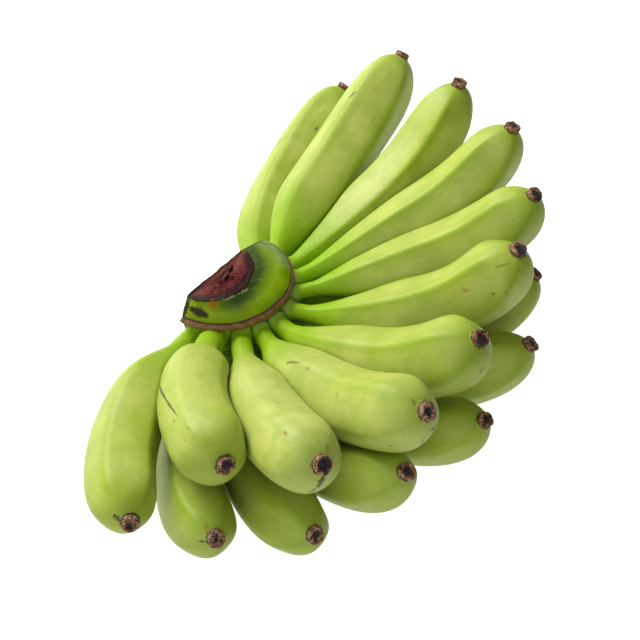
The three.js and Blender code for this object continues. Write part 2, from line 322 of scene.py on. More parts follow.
class Wiring:
    """Adds nodes to one node tree and joins them."""

    def __init__(self, tree: bpy.types.NodeTree) -> None:
        """Keeps the tree that the nodes go into."""
        self.tree = tree

    def node(self, kind: str, **settings: object) -> bpy.types.Node:
        """Adds a node of a kind and sets its own properties."""
        made = self.tree.nodes.new(kind)
        for name, value in settings.items():
            setattr(made, name, value)
        return made

    def feed(self, socket: Socket, value: object) -> None:
        """Links a socket into another one, or sets its plain value.

        Args:
            socket: The input.
            value: An output socket, a number, a colour or a vector.
        """
        if isinstance(value, bpy.types.NodeSocket):
            self.tree.links.new(value, socket)
        elif isinstance(value, (int, float)):
            socket.default_value = value
        else:
            wide = list(value)
            wants = len(socket.default_value)
            socket.default_value = (wide + [1.0])[:wants] if wants > len(wide) else wide

    def math(self, operation: str, first: object, second: object = 0.0, third: object = 0.0,
             clamp: bool = False) -> Socket:
        """One Math node.

        Args:
            operation: Its operation.
            first: First input.
            second: Second input.
            third: Third input, where the operation has one.
            clamp: Whether the result is held between 0 and 1.

        Returns:
            Its value.
        """
        made = self.node("ShaderNodeMath", operation=operation, use_clamp=clamp)
        for socket, value in zip(made.inputs, (first, second, third)):
            self.feed(socket, value)
        return made.outputs[0]

    def vector(self, operation: str, first: object, second: object = (0, 0, 0),
               scale: object = 1.0) -> bpy.types.Node:
        """One Vector Math node.

        Args:
            operation: Its operation.
            first: First vector.
            second: Second vector.
            scale: The factor of a SCALE operation.

        Returns:
            The node, whose outputs are Vector and Value.
        """
        made = self.node("ShaderNodeVectorMath", operation=operation)
        self.feed(made.inputs[0], first)
        self.feed(made.inputs[1], second)
        if operation == "SCALE":
            self.feed(made.inputs["Scale"], scale)
        return made

    def step(self, value: object, low: object, high: object, start: float = 0.0,
             finish: float = 1.0) -> Socket:
        """A smooth step of a value between two bounds.

        Args:
            value: The value.
            low: Lower bound.
            high: Upper bound.
            start: What the lower bound gives.
            finish: What the upper bound gives.

        Returns:
            The stepped value.
        """
        made = self.node("ShaderNodeMapRange", interpolation_type="SMOOTHSTEP")
        for name, entry in (("Value", value), ("From Min", low), ("From Max", high),
                            ("To Min", start), ("To Max", finish)):
            self.feed(made.inputs[name], entry)
        return made.outputs["Result"]

    def mix(self, share: object, first: object, second: object) -> Socket:
        """Mixes two colours.

        Args:
            share: How much of the second one.
            first: First colour.
            second: Second colour.

        Returns:
            The mixed colour.
        """
        made = self.node("ShaderNodeMix", data_type="RGBA")
        self.feed(made.inputs["Factor"], share)
        self.feed(made.inputs["A"], first)
        self.feed(made.inputs["B"], second)
        return next(entry for entry in made.outputs if entry.type == "RGBA")

    def times(self, first: object, second: object) -> Socket:
        """The product of two values."""
        return self.math("MULTIPLY", first, second)

    def plus(self, first: object, second: object) -> Socket:
        """The sum of two values."""
        return self.math("ADD", first, second)

    def minus(self, first: object, second: object) -> Socket:
        """The first value less the second."""
        return self.math("SUBTRACT", first, second)

    def fade(self, value: object, band: Band) -> Socket:
        """How far a value is through a band: 0 at its first bound and 1 at its last, which may be the
        lower one."""
        first, last = band
        return self.step(value, first, last) if first < last else self.step(value, last, first, 1.0, 0.0)

    def around_zero(self, noise: object, height: object) -> Socket:
        """Noise from 0 to 1, moved to lie round 0 and made as high as asked."""
        return self.times(self.minus(noise, 0.5), height)

    def tint(self, under: object, over: Tint | Mark, mask: object) -> Socket:
        """Lays a tint's or mark's colour over another one where a mask is."""
        return self.mix(self.times(mask, over.strength), under, over.colour)

    def noise(self, where: Socket, cloud: Cloud) -> Socket:
        """Cloudy noise from 0 to 1, 0.5 on average.

        Args:
            where: Coordinates in metres.
            cloud: Its look.

        Returns:
            The noise value.
        """
        made = self.node("ShaderNodeTexNoise")
        for name, value in (("Vector", where), ("Scale", cloud.scale), ("Detail", cloud.detail),
                            ("Roughness", cloud.rough), ("Distortion", cloud.swirl)):
            self.feed(made.inputs[name], value)
        return made.outputs["Fac"]

    def patches(self, where: Socket, cloud: Cloud) -> Socket:
        """Patches of cloudy noise: how far it is through the cloud's band."""
        return self.fade(self.noise(where, cloud), cloud.band)

    def cells(self, where: Socket, scale: object) -> bpy.types.Node:
        """Cells round scattered middles, whose outputs are the Distance to a middle and a Color.

        Args:
            where: Coordinates in metres.
            scale: Cells in a metre.

        Returns:
            The node.
        """
        made = self.node("ShaderNodeTexVoronoi", feature="F1")
        self.feed(made.inputs["Vector"], where)
        self.feed(made.inputs["Scale"], scale)
        return made

    def stretched(self, where: Socket, scale: tuple[float, float, float]) -> Socket:
        """Coordinates scaled by axis, through a Mapping node."""
        made = self.node("ShaderNodeMapping")
        self.feed(made.inputs["Vector"], where)
        self.feed(made.inputs["Scale"], scale)
        return made.outputs["Vector"]

    def field(self, name: str, vector: bool = False) -> Socket:
        """An attribute of the mesh, as a number or a vector."""
        made = self.node("ShaderNodeAttribute", attribute_name=name)
        return made.outputs["Vector" if vector else "Fac"]

    def place(self) -> Socket:
        """Object coordinates."""
        return self.node("ShaderNodeTexCoord").outputs["Object"]

    def group(self, tree: bpy.types.NodeTree, **values: object) -> bpy.types.Node:
        """Places a node group and sets or links its named inputs.

        Args:
            tree: The group.
            values: Its inputs by name.

        Returns:
            The group's node.
        """
        made = self.node("ShaderNodeGroup")
        made.node_tree = tree
        for name, value in values.items():
            self.feed(made.inputs[name], value)
        return made


def start_group(name: str, inputs: dict[str, str], outputs: dict[str, str]) -> tuple[Wiring, dict, dict]:
    """Begins a shader node group with named sockets.

    Args:
        name: The group's name.
        inputs: Names and kinds of its inputs: Float, Vector or Color.
        outputs: Names and kinds of its outputs.

    Returns:
        The wiring, the sockets that bring the inputs, and the sockets that take the outputs.
    """
    tree = bpy.data.node_groups.new(name, "ShaderNodeTree")
    for direction, sockets in (("INPUT", inputs), ("OUTPUT", outputs)):
        for entry, kind in sockets.items():
            tree.interface.new_socket(entry, in_out=direction, socket_type=f"NodeSocket{kind}")
    wiring = Wiring(tree)
    brings = wiring.node("NodeGroupInput").outputs
    takes = wiring.node("NodeGroupOutput").inputs
    return wiring, {entry: brings[entry] for entry in inputs}, {entry: takes[entry] for entry in outputs}


class SharedEffects:
    """The node groups that several materials use, each built once."""

    RAGGED_EDGE = Cloud(900, 3, 0.6)
    FINE_STREAKS = Cloud(620, 4, 0.6)
    BROAD_STREAKS = Cloud(150)
    LUMPS = Cloud(620, 5, 0.65, 0.4)
    THREADS = Cloud(900, 4, 0.6)
    CRUMBS = 1100.0
    CRUMB_HEIGHT = 0.175
    FIBRE_TONES: Band = (0.34, 0.66)
    LUMP_SHARE = 0.6
    STROKE_TAPER = 0.9
    STROKE_CORE = 0.35
    FINE_ALONG = (1, 1, 0.05)
    BROAD_ALONG = (1, 1, 0.12)
    FINE_SHARE = 0.45
    BROAD_SHARE = 0.55

    def __init__(self) -> None:
        """Builds every group."""
        self.stroke = self._stroke()
        self.streaks = self._streaks()
        self.fibres = self._fibres()
        self.specks = self._specks()

    def _stroke(self) -> bpy.types.NodeTree:
        """A scratch or a spot: everything nearer to a short line than a ragged width that narrows
        towards both ends.

        Returns:
            The group, whose Mask is 1 on the stroke.
        """
        wiring, given, wanted = start_group(
            "stroke",
            {"Place": "Vector", "Start": "Vector", "Finish": "Vector", "Width": "Float", "Ragged": "Float"},
            {"Mask": "Float"},
        )
        along = wiring.vector("SUBTRACT", given["Finish"], given["Start"]).outputs["Vector"]
        away = wiring.vector("SUBTRACT", given["Place"], given["Start"]).outputs["Vector"]
        shadow = wiring.vector("DOT_PRODUCT", away, along).outputs["Value"]
        square = wiring.vector("DOT_PRODUCT", along, along).outputs["Value"]
        share = wiring.math("DIVIDE", shadow, wiring.plus(square, 1e-9), clamp=True)
        nearest = wiring.vector("SCALE", along, scale=share).outputs["Vector"]
        apart = wiring.vector("SUBTRACT", away, nearest).outputs["Vector"]
        distance = wiring.vector("LENGTH", apart).outputs["Value"]
        cloud = wiring.around_zero(wiring.noise(given["Place"], self.RAGGED_EDGE), given["Ragged"])
        taper = wiring.times(wiring.math("ABSOLUTE", wiring.minus(share, 0.5)), self.STROKE_TAPER)
        width = wiring.times(given["Width"], wiring.minus(1.0, taper))
        edge = wiring.plus(distance, wiring.times(cloud, given["Width"]))
        core = wiring.times(width, self.STROKE_CORE)
        wiring.feed(wanted["Mask"], wiring.step(edge, core, width, 1.0, 0.0))
        return wiring.tree

    def _streaks(self) -> bpy.types.NodeTree:
        """Faint lengthwise streaks on straightened coordinates, fine across and long along.

        Returns:
            The group, whose Value is 0.5 on average.
        """
        wiring, given, wanted = start_group("long_streaks", {"Straight": "Vector"}, {"Value": "Float"})
        fine = wiring.noise(wiring.stretched(given["Straight"], self.FINE_ALONG), self.FINE_STREAKS)
        broad = wiring.noise(wiring.stretched(given["Straight"], self.BROAD_ALONG), self.BROAD_STREAKS)
        fine, broad = wiring.times(fine, self.FINE_SHARE), wiring.times(broad, self.BROAD_SHARE)
        wiring.feed(wanted["Value"], wiring.plus(fine, broad))
        return wiring.tree

    def _fibres(self) -> bpy.types.NodeTree:
        """Dry ragged fibre: crumbly lumps crossed by fine threads.

        Returns:
            The group, whose Tone runs from dark hollows to light threads and whose Height is relief.
        """
        wiring, given, wanted = start_group(
            "dry_fibre", {"Place": "Vector", "Threads": "Vector"}, {"Tone": "Float", "Height": "Float"}
        )
        lumps = wiring.noise(given["Place"], self.LUMPS)
        threads = wiring.noise(given["Threads"], self.THREADS)
        lumps = wiring.times(lumps, self.LUMP_SHARE)
        tone = wiring.plus(lumps, wiring.times(threads, 1 - self.LUMP_SHARE))
        crumbs = wiring.cells(given["Place"], self.CRUMBS).outputs["Distance"]
        wiring.feed(wanted["Tone"], wiring.fade(tone, self.FIBRE_TONES))
        wiring.feed(wanted["Height"], wiring.plus(tone, wiring.times(crumbs, self.CRUMB_HEIGHT)))
        return wiring.tree

    def _specks(self) -> bpy.types.NodeTree:
        """Scattered tiny specks: cells whose random value is high show a dot at their middle.

        Returns:
            The group, whose Mask is 1 on a speck.
        """
        wiring, given, wanted = start_group(
            "scattered_specks", {"Place": "Vector", "Scale": "Float", "Rarity": "Float", "Size": "Float"},
            {"Mask": "Float"},
        )
        cells = wiring.cells(given["Place"], given["Scale"])
        dot = wiring.step(cells.outputs["Distance"], 0.0, given["Size"], 1.0, 0.0)
        pick = wiring.node("ShaderNodeSeparateColor")
        wiring.feed(pick.inputs[0], cells.outputs["Color"])
        chosen = wiring.math("GREATER_THAN", pick.outputs[0], given["Rarity"])
        wiring.feed(wanted["Mask"], wiring.times(dot, chosen))
        return wiring.tree


def start_material(name: str) -> tuple[bpy.types.Material, Wiring, bpy.types.Node]:
    """A new node material with its Principled shader.

    Args:
        name: Its name.

    Returns:
        The material, its wiring and the shader node.
    """
    material = bpy.data.materials.new(name)
    material.use_nodes = True
    wiring = Wiring(material.node_tree)
    shader = next(n for n in material.node_tree.nodes if n.type == "BSDF_PRINCIPLED")
    return material, wiring, shader


def add_relief(wiring: Wiring, shader: bpy.types.Node, height: Socket, depth: float) -> None:
    """Feeds a height into the shader's normal through one Bump node.

    Args:
        wiring: The material's wiring.
        shader: Its Principled shader.
        height: The relief.
        depth: Metres for a height of 1.
    """
    bump = wiring.node("ShaderNodeBump")
    wiring.feed(bump.inputs["Strength"], 1.0)
    wiring.feed(bump.inputs["Distance"], depth)
    wiring.feed(bump.inputs["Height"], height)
    wiring.feed(shader.inputs["Normal"], bump.outputs["Normal"])


def draw_marks(wiring: Wiring, stroke: bpy.types.NodeTree, place: Socket, colour: Socket,
               marks: tuple[Mark, ...], find: Callable[..., Array]) -> tuple[Socket, Socket | float]:
    """Lays marks over a colour, each as one stroke.

    Args:
        wiring: The material's wiring.
        stroke: The group that draws one.
        place: Object coordinates.
        colour: What lies below.
        marks: The marks.
        find: Gives the point, in metres, of a mark's start or finish.

    Returns:
        The marked colour, and how deep the marks are sunken in.
    """
    sunken: Socket | float = 0.0
    for mark in marks:
        mask = wiring.group(
            stroke, Place=place, Start=find(*mark.start), Finish=find(*mark.finish),
            Width=mark.width / 1000, Ragged=mark.ragged,
        ).outputs["Mask"]
        colour = wiring.tint(colour, mark, mask)
        if mark.sunken:
            sunken = wiring.math("MULTIPLY_ADD", mask, mark.sunken, sunken)
    return colour, sunken


# The fingers


@dataclass(frozen=True)
class FingerSizes:
    """One finger in degrees and millimetres: where its neck leaves the ring, its heading and climb at
    neck and tip, its length, its radius at the neck and at its thickest, and the turn of its ridges.

    Its traits are how crisp the ridges are, at what share of the length the neck ends, over what
    share it then swells, where it begins to close, and the powers by which heading and climb ease."""

    name: str
    root_height: float
    root: float
    heading: tuple[float, float]
    climb: tuple[float, float]
    length: float
    neck: float
    radius: float
    roll: float
    crisp: float = 0.8
    neck_end: float = 0.12
    swell: float = 0.42
    taper: float = 0.7
    bend: float = 1.0
    rise: float = 1.0


def upper(number: int, *sizes: object, **traits: float) -> FingerSizes:
    """A finger of the upper row, by its number, its sizes in order and its traits."""
    return FingerSizes(f"upper_finger_{number:02d}", UPPER_ROOT, *sizes, **traits)


def lower(number: int, *sizes: object, **traits: float) -> FingerSizes:
    """A finger of the lower row, by its number, its sizes in order and its traits."""
    return FingerSizes(f"lower_finger_{number:02d}", LOWER_ROOT, *sizes, **traits)


FINGERS = (
    upper(1, 40, (71, 45), (5, 50), 167, 5.4, 19.5, -24, neck_end=0.06, swell=0.3, bend=0.8, rise=1.5),
    upper(2, 25, (41, 38), (3, 76), 168, 5.4, 17.5, 8, crisp=0.9, neck_end=0.09, taper=0.73, rise=1.9),
    upper(3, 8, (28, 13), (7, 72), 168, 5.0, 17, 24, crisp=0.9, taper=0.75, rise=2),
    upper(4, -9, (14, -6), (6, 68), 162, 4.2, 17.5, 19, crisp=0.9, taper=0.76, rise=2.1),
    upper(5, -26, (-18, 0), (1, 74), 156, 4.7, 18.5, 20, crisp=0.9, taper=0.77, rise=1.7),
    upper(6, -43, (-48, -19), (0, 58), 153, 5.4, 18.5, 16, crisp=0.85, swell=0.36, taper=0.78, rise=1.2),
    upper(7, -60, (-64, -38), (0, 46), 156, 5.4, 18.5, 22, crisp=0.6, swell=0.32, taper=0.77),
    upper(8, -77, (-84, -56), (2, 39), 152, 6, 18.5, 20, crisp=0.45, neck_end=0.17, swell=0.3, taper=0.76),
    upper(9, -97, (-112, -56), (10, 22), 130, 8, 18.5, 12, crisp=0.45, neck_end=0.19, swell=0.2,
          taper=0.76),
    upper(10, -115, (-132, -66), (-2, 16), 154, 5.6, 17, 19, crisp=0.6, neck_end=0.16, swell=0.26,
          taper=0.76),
    lower(1, 41, (122, 39), (-12, 46), 170, 5.4, 18, -24, neck_end=0.08, swell=0.32, bend=0.6),
    lower(2, 29, (36, 40), (-20, 38), 152, 7.4, 17, 0, neck_end=0.08, swell=0.3),
    lower(3, 14, (22, 28), (-20, 38), 152, 8, 17, 0, neck_end=0.08, swell=0.3),
    lower(4, -2, (2, 14), (-20, 38), 152, 5, 17, 0),
    lower(5, -18, (-15, 15), (-23, 58), 163, 5, 17.5, 8),
    lower(6, -34, (-32, 0), (-22, 52), 162, 5, 17.5, 20),
    lower(7, -51, (-50, -22), (-22, 52), 161, 5, 17.5, 24),
    lower(8, -69, (-72, -35), (-23, 57), 164, 5, 17.5, 20),
    lower(9, -88, (-88, -52), (-18, 37), 156, 5, 17.5, 12, crisp=0.85),
    lower(10, -107, (-110, -59), (-19, 39), 155, 5, 17.5, 12, crisp=0.7),
)


class MiddleLine:
    """The line through the middle of a finger, walked in small steps from its root in the crown."""

    STEPS = 120

    def __init__(self, sizes: FingerSizes) -> None:
        """Walks the line: each step goes the way that heading and climb have reached half way in it."""
        self.sizes = sizes
        share = (np.arange(self.STEPS) + 0.5) / self.STEPS
        steps = self.direction(share) * sizes.length / self.STEPS
        start = level(sizes.root) * ROOT_RADIUS + [0, 0, sizes.root_height]
        self.points = start + np.concatenate([np.zeros((1, 3)), np.cumsum(steps, 0)])

    def direction(self, share: Array) -> Array:
        """Unit direction at shares of the length; heading and climb ease from the neck to the tip."""
        sizes = self.sizes
        heading = sizes.heading[0] + (sizes.heading[1] - sizes.heading[0]) * share**sizes.bend
        climb = np.radians(sizes.climb[0] + (sizes.climb[1] - sizes.climb[0]) * share**sizes.rise)
        return level(heading) * np.cos(climb)[..., None] + UP * np.sin(climb)[..., None]

    def point(self, share: Array) -> Array:
        """Points of the line at shares of its length."""
        known = np.linspace(0, 1, self.STEPS + 1)
        return np.stack([np.interp(share, known, self.points[:, axis]) for axis in range(3)], -1)

    def frame(self, share: Array) -> tuple[Array, Array, Array]:
        """The direction, the sideways vector (direction crossed with up) and the topward vector."""
        along = self.direction(share)
        side = np.cross(along, UP)
        side = side / np.linalg.norm(side, axis=-1, keepdims=True)
        return along, side, np.cross(side, along)


@dataclass(frozen=True)
class FingerForm:
    """What all fingers share, in millimetres unless said: the nub's and the flared root's radius and
    the shares of the length where the flare and the body end, the sharpness of the ridges below and
    above, the gap and blend between neighbours, the uneven swellings and the cushion at the root as
    shares of the radius, the painted shade lines along and just under a ridge and the band of
    painted sheen in the middle of each face in degrees, and the size of the grid.

    Then how far the neck keeps inside the crown's straight cut, the shares of the length over which
    ridges and swellings grow and close, and where the root, free skin and cork begin."""

    nub_radius: float = 4.4
    flare: float = 2.6
    flare_end: float = 0.075
    body_end: float = 0.985
    belly_sharpness: float = 5.0
    back_sharpness: float = 13.0
    section_mean: float = 1.04
    gap: float = 0.1
    press_blend: float = 1.6
    least_reach: float = 0.6
    swellings: float = 0.014
    cushion: float = 5.95
    cushion_place: tuple[float, float] = (0.05, 0.014)
    # painted shade: the band of the dark green line along each ridge crest
    ridge_shade_line: tuple[float, float] = (1.0, 3.4)
    # painted shade: the band of the darker line just under each ridge
    under_ridge_shade_line: tuple[float, float] = (6.0, 3.8)
    # painted sheen: the band that paints the middle of each face paler
    face_sheen_band: tuple[float, float] = (8.0, 26.0)
    samples: int = 121
    columns: int = 144
    flush: float = 0.3
    ridges_begin: float = 0.03
    ridges_grow: float = 0.24
    ridges_close: float = 0.1
    even_root: Band = (0.1, 0.4)
    even_tip: Band = (0.99, 0.85)
    swelling_waves: int = 5
    root_zone: Band = (0.05, 0.2)
    free_band: Band = (-0.4, 1.6)
    # how far a finger is squashed before the pressed tint, partly painted contact shade, is full
    pressed_depth: float = 4.0
    cork_begin: float = 0.98

    def round_radius(self, sizes: FingerSizes, share: Array) -> Array:
        """Radius of the round envelope: slim neck, swelling body, blunt end, never under the nub's.

        The body swells as 1 less (1 less a power of the share) to the power 2.2, and the end closes
        as the root of 1 less a cube. At the root a flare dies away as a square.

        Args:
            sizes: The finger.
            share: Shares of its length.

        Returns:
            Radii in millimetres.
        """
        swell = np.clip((share - sizes.neck_end) / sizes.swell, 0, 1) ** 1.3
        body = sizes.neck + (sizes.radius - sizes.neck) * (1 - (1 - swell) ** 2.2)
        flare = self.flare * (1 - np.clip(share / self.flare_end, 0, 1)) ** 2
        end = np.clip((share - sizes.taper) / (self.body_end - sizes.taper), 0, 1)
        least = np.where(share < 0.5, 0, self.nub_radius)
        return np.maximum((body + flare) * np.sqrt(1 - end**3), least)

    def section(self, sizes: FingerSizes, angle: Array) -> Array:
        """The five-sided section, 1 on average: five flat faces joined by a power sum of the cosines
        of the angles to them, with a higher power and so crisper ridges towards the upper side.

        Args:
            sizes: The finger.
            angle: Angles from the upper side, in radians.

        Returns:
            Reach over the round radius.
        """
        upperness = ((1 + np.cos(angle)) / 2) ** 2
        power = self.belly_sharpness + (self.back_sharpness - self.belly_sharpness) * upperness
        faces = np.radians(np.arange(0, 360, FACE_TURN))
        lean = np.maximum(0, np.cos(angle[..., None] + np.radians(sizes.roll) - faces))
        reach = (lean ** power[..., None]).sum(-1) ** (-1 / power) / self.section_mean
        return 1 + sizes.crisp * (reach - 1)


class Finger:
    """One finger: its skin, pressed flat against its neighbours, and the corky nub at its tip."""

    FAR = 1000.0
    NEAR = 14.0
    BEHIND = 60.0
    NUB_BACK = (3.1, 2.6, 2.1, 1.5, 0.9, 0.35, 0.0, -0.1, 0.05, 0.4, 0.7, 0.75, 0.6, 0.5)
    NUB_WIDE = (4.4, 4.3, 4.35, 4.45, 4.45, 4.25, 3.9, 3.45, 3.0, 2.6, 2.1, 1.5, 0.9, 0.3)
    NUB_RINGS = 40
    LUMPS = ((1, 0.2), (2, 0.2), (3, 0.14), (5, 0.12), (7, 0.07), (11, 0.05))
    NICKS = ((1, 0.25), (2, 0.2), (4, 0.14), (6, 0.12), (9, 0.08), (13, 0.06))

    def __init__(self, sizes: FingerSizes, form: FingerForm, seed: int) -> None:
        """Keeps the sizes and walks the middle line."""
        self.sizes = sizes
        self.form = form
        self.seed = seed
        self.line = MiddleLine(sizes)
        self.skin_shares = np.concatenate([
            np.linspace(0, 0.3, 52)[:-1],
            np.linspace(0.3, 0.86, 66)[:-1],
            np.linspace(0.86, 0.98, 44)[:-1],
        ])
        self.angles = np.arange(form.columns) * 2 * np.pi / form.columns
        self.skin: Array | None = None

    def _limit(self, centres: Array, rays: Array, own: Array, others: list[Finger]) -> Array:
        """How far rays may reach before the surface shared with a neighbour.

        The shared surface holds the points whose distances from the two middle lines are in the
        ratio of the two radii; along a ray that is the root of a quadratic.

        Args:
            centres: Middle points of the stations.
            rays: Unit rays by station and angle.
            own: Own radius at the stations.
            others: The other fingers.

        Returns:
            The reach by station and angle, large where nothing is near.
        """
        reach = np.full(rays.shape[:2], self.FAR)
        shares = np.linspace(0, 1, self.form.samples)
        for other in others:
            points = other.line.point(shares)
            radii = self.form.round_radius(other.sizes, shares)
            for point, radius in zip(points, radii):
                away = centres - point
                distance = np.linalg.norm(away, axis=1)
                near = distance < 2 * (own + self.NEAR)
                if not near.any():
                    continue
                away, distance, mine = away[near], distance[near], own[near]
                square = (mine**2 - radius**2)[:, None]
                half = np.einsum("sc,stc->st", away, rays[near]) * (mine**2)[:, None]
                last = ((distance * mine) ** 2)[:, None]
                root = half**2 - square * last
                divisor = np.sqrt(np.maximum(root, 0)) - half
                meets = (root >= 0) & (divisor > 1e-9)
                found = np.where(meets, last / np.where(meets, divisor, 1), self.FAR)
                found = found * (1 - self.form.gap / distance)[:, None]
                reach[near] = np.minimum(reach[near], found)
        return reach

    def _skin(self, others: list[Finger]) -> tuple[Array, dict[str, Array]]:
        """The skin from the root to the nub.

        Args:
            others: The other fingers, which it is pressed against.

        Returns:
            Points by station and angle, and the fields that the finish reads.
        """
        share, angle, sizes, form = self.skin_shares, self.angles, self.sizes, self.form
        centres = self.line.point(share)
        _, side, top = self.line.frame(share)
        rays = np.cos(angle)[None, :, None] * top[:, None] + np.sin(angle)[None, :, None] * side[:, None]
        own = form.round_radius(sizes, share)
        grown = np.clip((share - form.ridges_begin) / form.ridges_grow, 0, 1)
        ridged = (grown * np.clip((1 - share) / form.ridges_close, 0, 1))[:, None]
        section = 1 + ridged * (form.section(sizes, angle)[None] - 1)
        uneven = swell_waves(
            self.seed, share[:, None], angle[None], form.swelling_waves, form.swellings
        )
        uneven = uneven * (ease(share, *form.even_root) * ease(share, *form.even_tip))[:, None]
        cushion = form.cushion * bump_at(share, *form.cushion_place) / sizes.radius
        free = own[:, None] * (section + uneven + cushion[:, None])
        limit = self._limit(centres, rays, own, others)
        reach = np.maximum(soft_least(free, limit, form.press_blend), form.least_reach)
        points = centres[:, None] + reach[..., None] * rays
        points[..., 2] = np.maximum(points[..., 2], TABLE)
        beyond_root = self.BEHIND * ease(share, *form.root_zone)[:, None]
        behind = -(points @ ROUND) - form.flush - beyond_root
        points = points + np.maximum(behind, 0)[..., None] * ROUND
        clear = ease(limit - free, *form.free_band) * ridged
        turned = np.degrees(angle) + sizes.roll
        off_ridge = np.where(np.sin(angle) < 0, -1, 1) * (np.mod(turned, FACE_TURN) - FACE_TURN / 2)
        fields = self._fields(reach, share[:, None] * sizes.length) | {
            "share": np.broadcast_to(share[:, None], reach.shape),
            # painted shade along each ridge crest, where the lit face meets the shaded one
            "ridge": sizes.crisp**2 * bump_at(off_ridge, *form.ridge_shade_line)[None] * clear,
            # painted shade just under each ridge, on its shaded side
            "under": sizes.crisp**2 * bump_at(off_ridge, *form.under_ridge_shade_line)[None] * clear,
            # painted sheen: the middles of the faces are made paler, standing in for soft highlights
            "face": sizes.crisp * ease(np.abs(off_ridge), *form.face_sheen_band)[None] * clear,
            # pressed: partly real, as less pale bloom where skins touch, and partly painted contact shade
            "pressed": np.clip((free - limit) / form.pressed_depth, 0, 1),
            "cork": np.broadcast_to((share[:, None] - form.cork_begin) * sizes.length, reach.shape),
        }
        return points, fields

    def _fields(self, radius: Array, along: Array) -> dict[str, Array]:
        """Fields of the finish, all 0 but the coordinates on the finger as if it were straight.

        Args:
            radius: Distance from the middle line.
            along: Distance along it.

        Returns:
            The fields by name.
        """
        angle = self.angles[None]
        fields = {name: np.zeros(radius.shape) for name in ("ridge", "under", "face", "pressed")}
        run = np.broadcast_to(along, radius.shape)
        fields["straight"] = np.stack([radius * np.cos(angle), radius * np.sin(angle), run], -1) / 1000
        return fields

    def _nub(self) -> tuple[Array, dict[str, Array]]:
        """The nub: a lumpy rim rolled over a groove, round a sunken core, turned about the tip's
        direction from a smooth profile.

        Returns:
            Points by station and angle, and the fields that the finish reads.
        """
        place = np.linspace(0, len(self.NUB_BACK) - 1, self.NUB_RINGS)
        back = through(self.NUB_BACK, place)
        wide = through(self.NUB_WIDE, place)
        angle = self.angles
        along, side, top = self.line.frame(np.array(1.0))
        tip = self.line.point(np.array(1.0))
        on_rim = bump_at(place, 4.5, 2.6)[:, None]
        within = ease(place, 7, 9)[:, None] * ease(place, 13, 11)[:, None]
        core = swell_waves(self.seed + 90, place[:, None] * 0.35, angle[None] * 2, 9, 0.22)
        radius = wide[:, None] + on_rim * ripple(self.seed + 50, angle, self.LUMPS) + within * core * 0.5
        behind = back[:, None] + on_rim * ripple(self.seed + 70, angle, self.NICKS) + within * core
        radius = np.maximum(radius, 0.05)
        ray = np.cos(angle)[:, None] * top + np.sin(angle)[:, None] * side
        points = tip - behind[..., None] * along + radius[..., None] * ray[None]
        fields = self._fields(radius, self.sizes.length - behind)
        fields["share"] = np.full(radius.shape, 1.0)
        fields["cork"] = np.broadcast_to(place[:, None] * 0.6, radius.shape)
        return points, fields

    def build(self, others: list[Finger]) -> bpy.types.Object:
        """Makes the finger's mesh.

        Args:
            others: The other fingers.

        Returns:
            The object.
        """
        skin, skin_fields = self._skin(others)
        nub, nub_fields = self._nub()
        self.skin = skin
        fields = {name: np.concatenate([skin_fields[name], nub_fields[name]]) for name in skin_fields}
        return Surface(f"{self.sizes.name}_peel", np.concatenate([skin, nub]), fields).make()

    def spot(self, share: float, angle: float) -> Array:
        """A place on the skin in the row frame, in metres.

        Args:
            share: Share along the finger.
            angle: Angle from its upper side, in degrees.

        Returns:
            The point.
        """
        row = int(np.argmin(np.abs(self.skin_shares - share)))
        column = int(round(angle / 360 * self.form.columns)) % self.form.columns
        return in_row_frame(*self.skin[row, column])


@dataclass(frozen=True)
class NubLook:
    """How a nub has dried: the radius of its dark core and how far that lies off the middle towards
    an angle, in millimetres and degrees from the upper side, and how orange its rim is."""

    core: float = 2.1
    shift: float = 0.5
    towards: float = 0.0
    orange: float = 0.3


NECK_GREEN = paint(138, 182, 0)
PALE_GREEN = paint(196, 200, 112)
DEEP_GREEN = paint(124, 154, 8)
CORK_DARK = paint(66, 44, 36)


